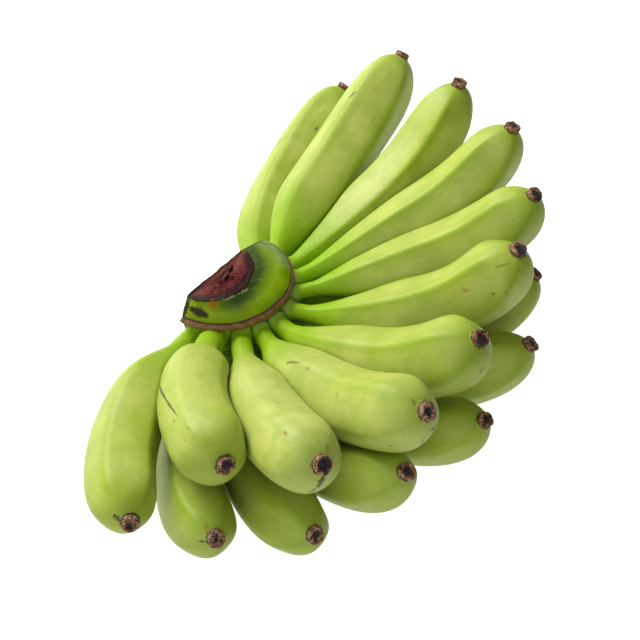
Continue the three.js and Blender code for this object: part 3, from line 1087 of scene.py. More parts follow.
@dataclass(frozen=True)
class PeelFinish:
    """The waxy green peel: its colours from the neck to the body, its tints in the order in which
    they are laid on, its clouds, gloss and relief, and the same for the nub's cork. Of the tints,
    face is painted sheen on the middles of the faces, under and ridge are painted shade lines beside
    and along each ridge, and pressed is partly painted contact shade where fingers touch."""

    body: Colour = paint(160, 180, 40)
    body_band: Band = (0.08, 0.42)
    lighter: Tint = Tint(PALE_GREEN, 0.45)
    sunny: Tint = Tint(paint(176, 186, 40), 0.5)
    # painted sheen: pale green laid on the middle of each face
    face: Tint = Tint(PALE_GREEN, 0.4)
    hollow: Tint = Tint(DEEP_GREEN, 0.3)
    streak: Tint = Tint(DEEP_GREEN, 0.18, (0.36, 0.64))
    end: Tint = Tint(DEEP_GREEN, 0.4, (0.84, 1.0))
    # partly painted: a more saturated green where fingers press together, for less bloom there and for
    # painted contact shade
    pressed: Tint = Tint(NECK_GREEN, 0.3)
    # painted shade: a deep green line under each ridge
    under: Tint = Tint(DEEP_GREEN, 0.6)
    # painted shade: a darker, more saturated green line along each ridge crest
    ridge: Tint = Tint(paint(138, 164, 0), 0.75)
    cushion: Tint = Tint(paint(160, 178, 104), 0.7, (0.075, 0.045))
    speck: Tint = Tint(paint(84, 84, 30), 0.55)
    drift: Cloud = Cloud(28, rough=0.55)
    drift_reach: float = 0.25
    light_patches: Cloud = Cloud(46, 2, 0.5, 0.3, (0.5, 0.72))
    sunny_patches: Cloud = Cloud(34, 2, 0.5, 0.3, (0.52, 0.7))
    hollow_patches: Cloud = Cloud(62, 3, 0.6, 0.0, (0.62, 0.36))
    grain: Cloud = Cloud(1500, 3, 0.6)
    roughness: float = 0.42
    roughness_drift: float = 0.14
    wax: float = 0.4
    relief: float = 0.00022
    cork: Colour = paint(158, 124, 96)
    cork_orange: Colour = paint(166, 108, 58)
    cork_band: Band = (0.1, 0.7)
    cork_edge: Band = (-0.35, 0.2)
    light_cork: Tint = Tint(paint(214, 186, 152), 0.75, (0.6, 1.0))
    ring: Tint = Tint(CORK_DARK, 0.45, (0.35, 0.95))
    rings_in_metre: float = 7200.0
    burnt: Tint = Tint(CORK_DARK, 0.8, (1.1, 0.1))
    fleck: Tint = Tint(paint(108, 100, 106), 0.5, (0.72, 0.98))
    core: Colour = paint(44, 38, 44)
    core_strength: float = 0.96
    core_band: Band = (0.0004, -0.0004)
    core_top: Band = (1.2, 2.6)
    fraying: Cloud = Cloud(420, 4, 0.65)
    edge_fray: float = 1.5
    core_fray: float = 0.0028
    grain_height: float = 0.5
    specks_in_metre: float = 170.0
    speck_rarity: float = 0.72
    speck_size: float = 0.17
    cork_dullness: float = 0.3
    core_sheen: float = 0.22
    cork_relief: float = 4.0
    wax_roughness: float = 0.5
    shine: float = 0.2
    translucency: float = 0.08
    light_spread: Colour = (0.6, 1.0, 0.2)
    light_depth: float = 0.004

    def tone_group(self) -> bpy.types.NodeTree:
        """The peel's colour, roughness, relief and wax as one group, used by every finger's material.

        Returns:
            The group.
        """
        wiring, given, wanted = start_group(
            "peel_tone",
            {"Place": "Vector", "Share": "Float", "Ridge": "Float", "Under": "Float", "Face": "Float",
             "Pressed": "Float", "Streak": "Float", "Speck": "Float", "Ripeness": "Float"},
            {"Colour": "Color", "Roughness": "Float", "Height": "Float", "Wax": "Float"},
        )
        place, share = given["Place"], given["Share"]
        cloud = wiring.noise(place, self.drift)
        reached = wiring.plus(share, wiring.around_zero(cloud, self.drift_reach))
        swell = wiring.fade(reached, self.body_band)
        colour = wiring.mix(swell, NECK_GREEN, wiring.mix(given["Ripeness"], self.body, PALE_GREEN))
        for tint, mask in (
            (self.lighter, wiring.times(wiring.patches(place, self.light_patches), swell)),
            (self.sunny, wiring.times(wiring.patches(place, self.sunny_patches), swell)),
            # painted sheen on the face middles
            (self.face, wiring.times(given["Face"], swell)),
            (self.hollow, wiring.patches(place, self.hollow_patches)),
            (self.streak, wiring.fade(given["Streak"], self.streak.band)),
            (self.end, wiring.fade(reached, self.end.band)),
            # partly painted contact shade where fingers press together
            (self.pressed, given["Pressed"]),
            # painted shade line under the ridges
            (self.under, given["Under"]),
            # painted shade line along the ridges
            (self.ridge, given["Ridge"]),
            (self.cushion, wiring.fade(share, self.cushion.band)),
            (self.speck, given["Speck"]),
        ):
            colour = wiring.tint(colour, tint, mask)
        wiring.feed(wanted["Colour"], colour)
        gloss = wiring.plus(self.roughness, wiring.times(cloud, self.roughness_drift))
        wiring.feed(wanted["Roughness"], gloss)
        grain = wiring.times(wiring.noise(place, self.grain), self.grain_height)
        wiring.feed(wanted["Height"], wiring.plus(grain, given["Streak"]))
        smooth = wiring.math("SUBTRACT", swell, given["Ridge"], clamp=True)
        wiring.feed(wanted["Wax"], wiring.times(smooth, self.wax))
        return wiring.tree

    def cork_group(self) -> bpy.types.NodeTree:
        """The nub's dry cork: a pinkish tan rim with fine dark rings round a blue-black core.

        Returns:
            The group, with a Mask of where cork covers the peel.
        """
        wiring, given, wanted = start_group(
            "corky_nub",
            {"Cork": "Float", "Tone": "Float", "Place": "Vector", "Middle": "Vector", "Core": "Float",
             "Orange": "Float"},
            {"Colour": "Color", "Mask": "Float", "Dark": "Float"},
        )
        tone = given["Tone"]
        cloud = wiring.noise(given["Place"], self.fraying)
        edge = wiring.plus(given["Cork"], wiring.around_zero(cloud, self.edge_fray))
        away = wiring.vector("SUBTRACT", given["Place"], given["Middle"]).outputs["Vector"]
        flat = wiring.vector("MULTIPLY", away, (1, 1, 0)).outputs["Vector"]
        distance = wiring.vector("LENGTH", flat).outputs["Value"]
        ragged = wiring.plus(distance, wiring.around_zero(cloud, self.core_fray))
        inside = wiring.fade(wiring.minus(ragged, given["Core"]), self.core_band)
        dark = wiring.times(inside, wiring.fade(given["Cork"], self.core_top))
        rim = wiring.mix(given["Orange"], self.cork, self.cork_orange)
        colour = wiring.mix(wiring.fade(tone, self.cork_band), CORK_DARK, rim)
        colour = wiring.tint(colour, self.light_cork, wiring.fade(tone, self.light_cork.band))
        rings = wiring.math("SINE", wiring.times(ragged, self.rings_in_metre))
        colour = wiring.tint(colour, self.ring, wiring.fade(rings, self.ring.band))
        colour = wiring.tint(colour, self.burnt, wiring.fade(edge, self.burnt.band))
        core = wiring.tint(self.core, self.fleck, wiring.fade(tone, self.fleck.band))
        wiring.feed(wanted["Colour"], wiring.mix(wiring.times(dark, self.core_strength), colour, core))
        wiring.feed(wanted["Mask"], wiring.fade(edge, self.cork_edge))
        wiring.feed(wanted["Dark"], dark)
        return wiring.tree


class PeelDresser:
    """Gives each finger its own peel material, with its marks, from the shared groups."""

    def __init__(self, finish: PeelFinish, effects: SharedEffects) -> None:
        """Builds the peel's groups once."""
        self.finish = finish
        self.effects = effects
        self.tone = finish.tone_group()
        self.cork = finish.cork_group()

    def dress(self, finger: Finger, piece: bpy.types.Object, ripeness: float, nub: NubLook,
              marks: tuple[Mark, ...]) -> None:
        """Makes the finger's material and puts it on.

        Args:
            finger: The finger, for the places of its marks.
            piece: Its object.
            ripeness: How pale and yellow its body is, from 0 to 1.
            nub: How its nub has dried.
            marks: Its marks.
        """
        finish = self.finish
        material, wiring, shader = start_material(f"{finger.sizes.name}_peel")
        place, straight = wiring.place(), wiring.field("straight", vector=True)
        speck = wiring.group(
            self.effects.specks, Place=place, Scale=finish.specks_in_metre,
            Rarity=finish.speck_rarity, Size=finish.speck_size,
        )
        tone = wiring.group(
            self.tone, Place=place, Share=wiring.field("share"), Ridge=wiring.field("ridge"),
            Under=wiring.field("under"), Face=wiring.field("face"), Pressed=wiring.field("pressed"),
            Streak=wiring.group(self.effects.streaks, Straight=straight).outputs["Value"],
            Speck=speck.outputs["Mask"], Ripeness=ripeness,
        )
        colour, _ = draw_marks(
            wiring, self.effects.stroke, place, tone.outputs["Colour"], marks, finger.spot
        )
        fibre = wiring.group(self.effects.fibres, Place=straight, Threads=straight)
        cork = wiring.group(
            self.cork, Cork=wiring.field("cork"), Tone=fibre.outputs["Tone"], Place=straight,
            Middle=level(nub.towards) * nub.shift / 1000, Core=nub.core / 1000, Orange=nub.orange,
        )
        mask = cork.outputs["Mask"]
        wiring.feed(shader.inputs["Base Color"], wiring.mix(mask, colour, cork.outputs["Colour"]))
        sheen = wiring.times(cork.outputs["Dark"], finish.core_sheen)
        dull = wiring.minus(wiring.times(mask, finish.cork_dullness), sheen)
        wiring.feed(shader.inputs["Roughness"], wiring.plus(tone.outputs["Roughness"], dull))
        bare = wiring.minus(1.0, mask)
        wiring.feed(shader.inputs["Coat Weight"], wiring.times(tone.outputs["Wax"], bare))
        shader.inputs["Coat Roughness"].default_value = finish.wax_roughness
        shader.inputs["Specular IOR Level"].default_value = finish.shine
        shader.inputs["Subsurface Weight"].default_value = finish.translucency
        shader.inputs["Subsurface Radius"].default_value = finish.light_spread
        shader.inputs["Subsurface Scale"].default_value = finish.light_depth
        coarse = wiring.times(wiring.times(fibre.outputs["Height"], mask), finish.cork_relief)
        add_relief(wiring, shader, wiring.plus(tone.outputs["Height"], coarse), finish.relief)
        piece.data.materials.append(material)


MARK_BROWN = paint(112, 84, 34)
MARK_DARK = paint(62, 44, 26)
MARK_ORANGE = paint(148, 120, 36)
MARK_GREEN = paint(96, 118, 20)

MARKS: dict[str, tuple[Mark, ...]] = {
    "upper_finger_09": (
        Mark((0.45, 74), (0.6, 49), 1.42, MARK_DARK, 0.95, 1.6),
        Mark((0.6, 49), (0.74, 35), 1.14, MARK_DARK, 0.85, 1.9),
        Mark((0.74, 35), (0.87, 27), 0.76, MARK_BROWN, 0.75, 2.2),
        Mark((0.76, 43), (0.77, 43), 0.95, MARK_ORANGE, 0.8),
    ),
    "upper_finger_07": (
        Mark((0.37, 27), (0.43, 18), 1.04, MARK_BROWN, 0.8, 1.8),
        Mark((0.48, 18), (0.5, 17), 1.71, MARK_ORANGE, 0.8, 1.4),
        Mark((0.88, 113), (0.885, 116), 1.33, MARK_BROWN, 0.8),
        Mark((0.966, 175), (0.955, 190), 1.33, MARK_DARK, 0.85, 1.8),
        Mark((0.945, 155), (0.925, 160), 1.52, MARK_GREEN, 0.7, 1.8),
        Mark((0.976, 20), (0.97, 8), 0.95, MARK_GREEN, 0.8, 1.4),
    ),
    "upper_finger_08": (
        Mark((0.885, 22), (0.9, 23), 1.52, MARK_ORANGE, 0.85, 1.6),
        Mark((0.675, 355), (0.685, 356), 1.14, MARK_BROWN, 0.6),
        Mark((0.978, 170), (0.955, 160), 2.28, MARK_DARK, 0.9, 2.0),
        Mark((0.95, 156), (0.925, 152), 1.14, MARK_DARK, 0.7, 2.0),
        Mark((0.975, 305), (0.965, 312), 1.71, MARK_ORANGE, 0.6, 1.8),
    ),
    "upper_finger_10": (
        Mark((0.978, 62), (0.97, 50), 2.09, MARK_DARK, 0.8, 2.0),
        Mark((0.5, 30), (0.51, 31), 0.95, MARK_BROWN, 0.5),
    ),
    "lower_finger_10": (
        Mark((0.965, 80), (0.978, 88), 0.76, MARK_DARK, 0.85, 1.5),
        Mark((0.978, 20), (0.968, 15), 2.28, MARK_ORANGE, 0.5, 1.6),
    ),
    "upper_finger_01": (
        Mark((0.735, 343), (0.765, 350), 1.04, MARK_DARK, 0.8, 1.8),
        Mark((0.71, 342), (0.715, 342), 0.95, MARK_BROWN, 0.7),
        Mark((0.18, 22), (0.185, 23), 1.52, MARK_BROWN, 0.7),
    ),
    "lower_finger_01": (
        Mark((0.64, 312), (0.7, 332), 1.33, MARK_BROWN, 0.6, 2.2),
        Mark((0.77, 27), (0.79, 30), 1.14, MARK_DARK, 0.7, 1.8),
    ),
    "upper_finger_05": (
        Mark((0.78, 41), (0.8, 45), 2.09, MARK_ORANGE, 0.6, 1.8),
        Mark((0.866, 72), (0.87, 74), 1.14, MARK_BROWN, 0.8),
        Mark((0.896, 87), (0.9, 89), 0.95, MARK_BROWN, 0.8),
        Mark((0.817, 115), (0.83, 118), 1.14, MARK_BROWN, 0.7),
        Mark((0.935, 43), (0.966, 62), 0.76, MARK_GREEN, 0.8, 1.6),
    ),
    "upper_finger_06": (
        Mark((0.86, 143), (0.891, 162), 1.14, MARK_DARK, 0.75, 2.0),
        Mark((0.95, 140), (0.93, 138), 0.95, MARK_BROWN, 0.7),
    ),
}

NUBS: dict[str, NubLook] = {
    "upper_finger_01": NubLook(2.4, 0.8, 90),
    "upper_finger_02": NubLook(2.2, 0.8, 120, 0.2),
    "upper_finger_03": NubLook(2.0, 0.9, 160, 0.3),
    "upper_finger_04": NubLook(3.5, 1.7, 120, 0.5),
    "upper_finger_05": NubLook(3.6, 1.7, 130, 0.3),
    "upper_finger_06": NubLook(3.4, 1.9, 110, 0.9),
    "upper_finger_07": NubLook(2.2, 0.5, 80, 0.1),
    "upper_finger_08": NubLook(3.4, 0.5, -60, 0.5),
    "upper_finger_09": NubLook(2.9, 1.0, -10, 0.0),
    "upper_finger_10": NubLook(1.8, 0.9, 120, 0.2),
    "lower_finger_10": NubLook(1.3, 0.6, 150, 0.0),
}

COMMON_RIPENESS = 0.25
RIPENESS: dict[str, float] = {
    "upper_finger_01": 0.35, "upper_finger_07": 0.6, "upper_finger_08": 0.75, "upper_finger_09": 0.45,
}


class Hand:
    """All fingers of the hand, pressed against each other."""

    def __init__(self, form: FingerForm) -> None:
        """Makes every finger ready, with a seed by its number."""
        self.fingers = [Finger(sizes, form, 11 + index) for index, sizes in enumerate(FINGERS)]

    def build(self, dresser: PeelDresser) -> None:
        """Builds, dresses and places every finger, each for its CAD node.

        Args:
            dresser: Gives the peel.
        """
        for finger in self.fingers:
            others = [other for other in self.fingers if other is not finger]
            piece = finger.build(others)
            name = finger.sizes.name
            nub = NUBS.get(name, NubLook())
            dresser.dress(finger, piece, RIPENESS.get(name, COMMON_RIPENESS), nub, MARKS.get(name, ()))
            hand_over(piece, Slot.PEEL, name)


def hand_over(piece: bpy.types.Object, slot: Slot, *nodes: str) -> None:
    """Lets a piece ride on the body and stand for its CAD nodes.

    Args:
        piece: The finished piece.
        slot: Its material slot in the record; not used.
        nodes: The CAD nodes that it stands for.
    """
    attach(piece, "root")
    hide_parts(*nodes)
    LOG.info("built %s with %d faces", piece.name, len(piece.data.polygons))


# The crown


@dataclass
class Crown:
    """The half-disc crown, stacked by levels: height, then the reach to the far end, to the near end
    and to the round side. The straight cut lies a little behind the centre of the ring.

    The rim is lumpy over some levels and curls up at its edge, and the face inside is dished and
    spongy, by heights and distances from the rim in millimetres."""

    heights: tuple[float, ...] = (-37, -35, -29, -18, -6, 2.5, 6, 8.5, 10, 11.8, 13.5, 15)
    far: tuple[float, ...] = (17, 24, 30, 33, 35.5, 36, 34, 31.5, 28.5, 24.5, 18, 12)
    near: tuple[float, ...] = (20, 27, 33, 36, 38.5, 39.5, 38.5, 37.5, 36.5, 35.5, 34.5, 34)
    round: tuple[float, ...] = (17, 24, 30, 33, 34.5, 35, 33, 29.5, 25.5, 22, 20.3, 19.5)
    cut_offset: float = 0.5
    arc_columns: int = 220
    chord_columns: int = 100
    corner_passes: int = 5
    lumps: tuple[tuple[int, float], ...] = ((3, 0.25), (7, 0.22), (12, 0.16), (19, 0.12), (31, 0.08))
    widest_level: int = 5
    rows_below: int = 40
    rows_above: int = 70
    face_rows: int = 60
    lumpy_levels: Band = (5.5, 9)
    curl: float = 0.5
    curl_width: float = 0.8
    dish: float = 0.55
    dish_band: Band = (0.2, 1.6)
    sponge: float = 0.22
    sponge_band: Band = (0.5, 3)
    streak_centre: float = 6.0
    streak_scales: tuple[float, float, float] = (9, 0.06, 0.03)
    cut_band: Band = (0.9, 0.15)

    def _arc(self, far: Array, near: Array, reach: Array, turn: Array) -> tuple[Array, Array]:
        """Half an ellipse from the far end by way of the round side to the near end: its place along
        the chord by the cosine of the turn, and its way out by the sine.

        Args:
            far: Reach to the far end.
            near: Reach to the near end.
            reach: Reach to the round side.
            turn: Angle from the far end, in radians.

        Returns:
            Distances along the chord and outwards from the ring's centre.
        """
        chordwise = (far - near) / 2 + (far + near) / 2 * np.cos(turn)
        return chordwise, (reach + self.cut_offset) * np.sin(turn) - self.cut_offset

    def outline(self, place: Array) -> Array:
        """Closed outlines at places between the levels: half an ellipse round the fingers' side and a
        straight chord, its corners rounded by a running mean.

        Args:
            place: Level numbers, with parts of a level.

        Returns:
            Points by place and column.
        """
        height, far, near, reach = (
            through(values, place)[:, None] for values in (self.heights, self.far, self.near, self.round)
        )
        chordwise, outwards = self._arc(far, near, reach, np.linspace(0, np.pi, self.arc_columns)[None])
        back = np.linspace(0, 1, self.chord_columns + 2)[1:-1][None]
        chordwise = np.concatenate([chordwise, -near + (far + near) * back], 1)
        outwards = np.concatenate([outwards, -self.cut_offset + 0 * (far + back)], 1)
        flat = chordwise[..., None] * CHORD + outwards[..., None] * ROUND
        for _ in range(self.corner_passes):
            flat = (np.roll(flat, 1, 1) + 2 * flat + np.roll(flat, -1, 1)) / 4
        return flat + height[..., None] * UP

    def wall(self, turn: Array, height: Array, grow: float) -> Array:
        """The wall at any height, level: half an ellipse from the far end, grown by some reach.

        Args:
            turn: Angle from the far end, in radians.
            height: Height against the ring.
            grow: Extra reach.

        Returns:
            Points at height 0.
        """
        far, near, reach = (
            np.interp(height, self.heights, side) + grow for side in (self.far, self.near, self.round)
        )
        chordwise, outwards = self._arc(far, near, reach, turn)
        return chordwise[..., None] * CHORD + outwards[..., None] * ROUND

    def build(self) -> bpy.types.Object:
        """Makes the crown's mesh: the walls, the rim and the cut face drawn in to its middle.

        Returns:
            The object.
        """
        last = len(self.heights) - 1
        place = np.concatenate([
            np.linspace(0, self.widest_level, self.rows_below)[:-1],
            np.linspace(self.widest_level, last, self.rows_above),
        ])
        walls = self.outline(place)
        columns = walls.shape[1]
        round_angle = np.arange(columns) / columns * 2 * np.pi
        lump = ripple(5, round_angle, self.lumps)
        rise = ease(place, *self.lumpy_levels)
        outward = walls - walls.mean(1, keepdims=True)
        outward[..., 2] = 0
        outward = outward / np.linalg.norm(outward, axis=-1, keepdims=True)
        walls = walls + outward * (lump[None] * rise[:, None])[..., None]
        rim = walls[-1]
        middle = rim.mean(0)
        inward = np.linspace(0, 1, self.face_rows + 2)[1:-1]
        face = rim[None] + (middle - rim)[None] * inward[:, None, None]
        inset = np.linalg.norm(face - rim[None], axis=-1)
        curl = self.curl * bump_at(inset, 0.0, self.curl_width) - self.dish * ease(inset, *self.dish_band)
        rough = swell_waves(21, inset * 0.35, round_angle[None] * 3, 9, self.sponge)
        rough = rough * ease(inset, *self.sponge_band)
        face[..., 2] += curl + rough
        points = np.concatenate([walls, face])
        outside = np.linalg.norm(walls - rim[None], axis=-1)
        fields = {
            "inset": np.concatenate([-outside, inset]),
            "chord": points @ CHORD,
            "outwards": points @ ROUND,
            "radial": self._radial(points),
            "cut_wall": np.concatenate([self._on_chord(walls), np.zeros(inset.shape)]),
        }
        return Surface("crown_body", points, fields).make()

    def _radial(self, points: Array) -> Array:
        """Coordinates in which streaks run down from the cut: the turn about the ring's upright axis
        stretched to an arc, and a tenth of the way out, in metres."""
        chord, outwards = points @ CHORD, points @ ROUND + self.streak_centre
        turn = np.arctan2(outwards, chord)
        away = np.hypot(chord, outwards)
        by_turn, by_way, by_height = self.streak_scales
        return np.stack([turn * by_turn, away * by_way, points[..., 2] * by_height], -1) / 1000

    def _on_chord(self, points: Array) -> Array:
        """How much a point lies on the straight cut, by its distance behind the ring's centre."""
        first, last = self.cut_band
        return ease(-(points @ ROUND), self.cut_offset - first, self.cut_offset - last)


BLACK = paint(8, 4, 5)
TORN = paint(58, 36, 34)
RUST = paint(188, 96, 34)
CRACKED = paint(190, 204, 160)

CROWN_MARKS = (
    Mark((2.6, -3.2, 14.6), (1.2, -8.0, 14.6), 1.5, BLACK, 1.0, 1.8, 1.0),
    Mark((0.6, -10.4, 14.6), (-1.0, -13.4, 14.6), 1.5, BLACK, 1.0, 1.8, 1.0),
    Mark((-2.6, -16.0, 14.6), (-3.2, -17.6, 14.6), 0.8, BLACK, 0.9, 1.6, 0.6),
    Mark((-6.4, -19.4, 14.6), (-6.6, -20.0, 14.6), 0.6, BLACK, 0.8, 1.6, 0.6),
    Mark((-0.6, -28.6, 14.4), (6.5, -24.4, 14.0), 1.1, CRACKED, 0.7, 3.4),
    Mark((6.5, -24.4, 14.0), (13.0, -18.0, 13.2), 1.0, CRACKED, 0.7, 3.4),
    Mark((-6.9, -29.8, 13.8), (-6.2, -31.2, 12.0), 4.2, RUST, 0.8, 1.5),
    Mark((-5.4, -33.0, 10.6), (-6.4, -33.4, 10.2), 1.4, RUST, 0.6, 2.0),
    Mark((4.0, -36.4, 5.6), (5.0, -36.4, 5.6), 1.2, RUST, 0.4, 2.0),
    Mark((-18.4, -31.2, 10.0), (-10.6, -34.6, 8.4), 3.9, TORN, 0.96, 0.6),
    Mark((-20.6, -28.2, 13.4), (-23.3, -31.4, 5.6), 3.2, TORN, 0.92, 1.5),
    Mark((-23.3, -31.4, 5.6), (-23.4, -30.6, -4.0), 3.2, TORN, 0.92, 1.5),
    Mark((13.6, 18.8, 12.4), (22.6, 20.4, 10.0), 1.5, TORN, 0.85, 2.4),
)


RIM_BROWN = paint(48, 27, 29)
GREYISH = paint(134, 150, 104)


@dataclass(frozen=True)
class CrownFinish:
    """Crown skin, the maroon cut face with its dark rim, the torn wall of the straight cut, and the
    tints on each, with bands in millimetres along the crown or from the rim."""

    olive: Colour = paint(120, 152, 0)
    lime: Colour = paint(138, 166, 4)
    lime_band: Band = (0.36, 0.62)
    streak: Tint = Tint(GREYISH, 0.16)
    far_end: Tint = Tint(GREYISH, 0.7, (24.0, 34.0))
    # painted shade: a dark grey-green zone in the dip round the cut face, where shade falls
    valley_shade: Tint = Tint(paint(62, 82, 44), 0.94, (-15.0, -5.0))
    valley_shade_end: Band = (-34.0, -16.0)
    pale_edge: Tint = Tint(GREYISH, 0.3, (-6.0, -1.5))
    pale_band: Band = (0.56, 0.74)
    maroon: Colour = paint(58, 22, 24)
    red: Colour = paint(134, 56, 54)
    straight_side: Tint = Tint(paint(142, 92, 74), 0.55, (9.0, 2.0))
    dark_rim: Tint = Tint(RIM_BROWN, 0.92, (6.8, 3.0))
    rim_start: Band = (0.5, 4.0)
    near_end: Tint = Tint(paint(72, 58, 54), 0.75, (8.0, 3.0))
    near_band: Band = (-17.0, -26.0)
    cut_edge: Band = (-0.8, -0.4)
    wall: Colour = paint(128, 92, 62)
    wall_stain: Tint = Tint(RIM_BROWN, 0.6, (0.4, 0.66))
    broad: Cloud = Cloud(90)
    fine: Cloud = Cloud(420, 4, 0.6)
    radial: Cloud = Cloud(1000, 3, 0.6, 0.0, (0.42, 0.76))
    cut_cloud: float = 8.0
    far_cloud: float = 14.0
    valley_shade_cloud: float = 9.0
    edge_cloud: float = 1.8
    roughness: float = 0.5
    cut_dullness: float = 0.3
    shine: float = 0.1
    skin_relief: float = 0.15
    cut_relief: float = 0.85
    relief: float = 0.0011

    def _cut(self, wiring: Wiring, inset: Socket, tone: Socket, broad: Socket) -> Socket:
        """The cut face's colour: spongy red-maroon, tan towards the straight edge, a dark rim on the
        round side and a grey-purple zone near the crown's near end.

        Args:
            wiring: The material's wiring.
            inset: Distance from the rim in millimetres.
            tone: The fibre's tone.
            broad: Broad clouds.

        Returns:
            The colour.
        """
        cut = wiring.mix(tone, self.maroon, self.red)
        chord, outwards = wiring.field("chord"), wiring.field("outwards")
        cloud = wiring.around_zero(broad, self.cut_cloud)
        edge = wiring.plus(outwards, cloud)
        cut = wiring.tint(cut, self.straight_side, wiring.fade(edge, self.straight_side.band))
        away = wiring.plus(inset, cloud)
        dark = wiring.times(wiring.fade(away, self.dark_rim.band), wiring.fade(outwards, self.rim_start))
        cut = wiring.tint(cut, self.dark_rim, dark)
        near = wiring.fade(wiring.plus(chord, cloud), self.near_band)
        return wiring.tint(cut, self.near_end, wiring.times(near, wiring.fade(away, self.near_end.band)))

    def _skin(self, wiring: Wiring, inset: Socket, broad: Socket, fine: Socket) -> Socket:
        """The skin's colour: olive to lime with faint streaks running down from the cut, painted
        grey-green shade in the dip round the cut and a greyish far end.

        Args:
            wiring: The material's wiring.
            inset: Distance from the rim in millimetres, negative outside it.
            broad: Broad clouds.
            fine: Fine clouds.

        Returns:
            The colour.
        """
        chord = wiring.field("chord")
        skin = wiring.mix(wiring.fade(broad, self.lime_band), self.olive, self.lime)
        radial = wiring.patches(wiring.field("radial", vector=True), self.radial)
        skin = wiring.tint(skin, self.streak, radial)
        far = wiring.plus(chord, wiring.times(broad, self.far_cloud))
        dull = wiring.fade(far, self.far_end.band)
        skin = wiring.tint(skin, self.far_end, dull)
        # painted shade in the dip round the cut, by a ragged distance from the rim
        shadow = wiring.plus(inset, wiring.around_zero(broad, self.valley_shade_cloud))
        deep = wiring.times(wiring.fade(shadow, self.valley_shade.band), wiring.fade(chord, self.valley_shade_end))
        skin = wiring.tint(skin, self.valley_shade, deep)
        pale = wiring.times(wiring.fade(fine, self.pale_band), wiring.fade(shadow, self.pale_edge.band))
        return wiring.tint(skin, self.pale_edge, pale)

    def dress(self, piece: bpy.types.Object, effects: SharedEffects, marks: tuple[Mark, ...]) -> None:
        """Makes the crown's material and puts it on.

        Args:
            piece: The crown.
            effects: The shared groups.
            marks: Its stains, pits and cracks.
        """
        material, wiring, shader = start_material("crown_skin_and_cut")
        place, inset, behind = wiring.place(), wiring.field("inset"), wiring.field("cut_wall")
        broad, fine = wiring.noise(place, self.broad), wiring.noise(place, self.fine)
        fibre = wiring.group(effects.fibres, Place=place, Threads=wiring.stretched(place, (1, 1, 0.2)))
        skin = self._skin(wiring, inset, broad, fine)
        cut = self._cut(wiring, inset, fibre.outputs["Tone"], broad)
        from_rim = wiring.plus(inset, wiring.around_zero(fine, self.edge_cloud))
        on_cut = wiring.fade(from_rim, self.cut_edge)
        colour = wiring.mix(on_cut, skin, cut)
        torn = wiring.mix(fibre.outputs["Tone"], RIM_BROWN, self.wall)
        torn = wiring.tint(torn, self.wall_stain, wiring.fade(broad, self.wall_stain.band))
        colour, sunken = draw_marks(
            wiring, effects.stroke, place, wiring.mix(behind, colour, torn), marks, in_row_frame
        )
        wiring.feed(shader.inputs["Base Color"], colour)
        dull = wiring.plus(self.roughness, wiring.times(on_cut, self.cut_dullness))
        wiring.feed(shader.inputs["Roughness"], dull)
        shader.inputs["Specular IOR Level"].default_value = self.shine
        broken = wiring.math("ADD", on_cut, behind, clamp=True)
        depth = wiring.math("MULTIPLY_ADD", broken, self.cut_relief, self.skin_relief)
        coarse = wiring.times(depth, fibre.outputs["Height"])
        add_relief(wiring, shader, wiring.minus(coarse, sunken), self.relief)
        piece.data.materials.append(material)


# The bract scar


@dataclass
class BractScar:
    """The dried scar of the bract: a frayed lip laid along the crown above the upper necks, thick at
    the near end and thin at the far end. It turns about the ring from the far end, in degrees."""

    ARC_RADIUS = 37.0

    height: float = 4.6
    depth: float = 2.2
    thin: float = 0.36
    middle: float = 3.0
    turn: tuple[float, float] = (1.5, 178.5)
    stations: int = 420
    columns: int = 36
    frays: tuple[tuple[int, float], ...] = ((9, 0.05), (17, 0.06), (33, 0.04), (61, 0.03), (97, 0.02))
    sways: tuple[tuple[int, float], ...] = ((3, 0.35), (7, 0.2), (13, 0.1))
    sway_share: float = 0.5
    thickening: Band = (15, 130)
    ends: Band = (6, 175)
    end_height: float = 0.35
    tongue: tuple[float, float] = (0.5, 0.62)

    def build(self, crown: Crown) -> bpy.types.Object:
        """Makes the lip's mesh: a rounded tongue carried along the wall, its edge frayed by waves.

        Args:
            crown: The crown whose wall carries it.

        Returns:
            The object.
        """
        first, last = self.turn
        degrees = np.linspace(first, last, self.stations)
        turn = np.radians(degrees)
        share = self.thin + (1 - self.thin) * ease(degrees, *self.thickening)
        ends = ease(degrees, first, self.ends[0]) * ease(degrees, last, self.ends[1])
        around = np.arange(self.columns) / self.columns * 2 * np.pi
        fray = ripple(31, turn * 2, self.frays)
        sway = ripple(33, turn * 2, self.sways)
        out = self.tongue[0] - self.tongue[1] * np.cos(around)
        up = np.sin(around)
        frayed = 1 + fray[:, None] * ease(out, 0.5, 1.0)[None]
        reach = out[None] * frayed * (self.depth * share)[:, None]
        full = self.end_height + (1 - self.end_height) * ends
        lift = up[None] * (self.height / 2 * share * full)[:, None] + sway[:, None] * self.sway_share
        middle = np.full_like(turn, self.middle)
        outward = crown.wall(turn, middle, 1.0) - crown.wall(turn, middle, 0.0)
        outward = outward / np.linalg.norm(outward, axis=-1, keepdims=True)
        height = self.middle + lift
        points = crown.wall(turn[:, None], height, 0.0) + reach[..., None] * outward[:, None]
        points = points + height[..., None] * UP
        shape = reach.shape
        fields = {
            # edge: 1 on the lip's upper and lower edges, where painted shade goes
            "edge": np.broadcast_to(np.abs(up)[None], shape),
            "along": np.stack([
                np.broadcast_to((turn * self.ARC_RADIUS)[:, None], shape), reach, height,
            ], -1) / 1000,
        }
        return Surface("bract_scar_lip", points, fields).make()


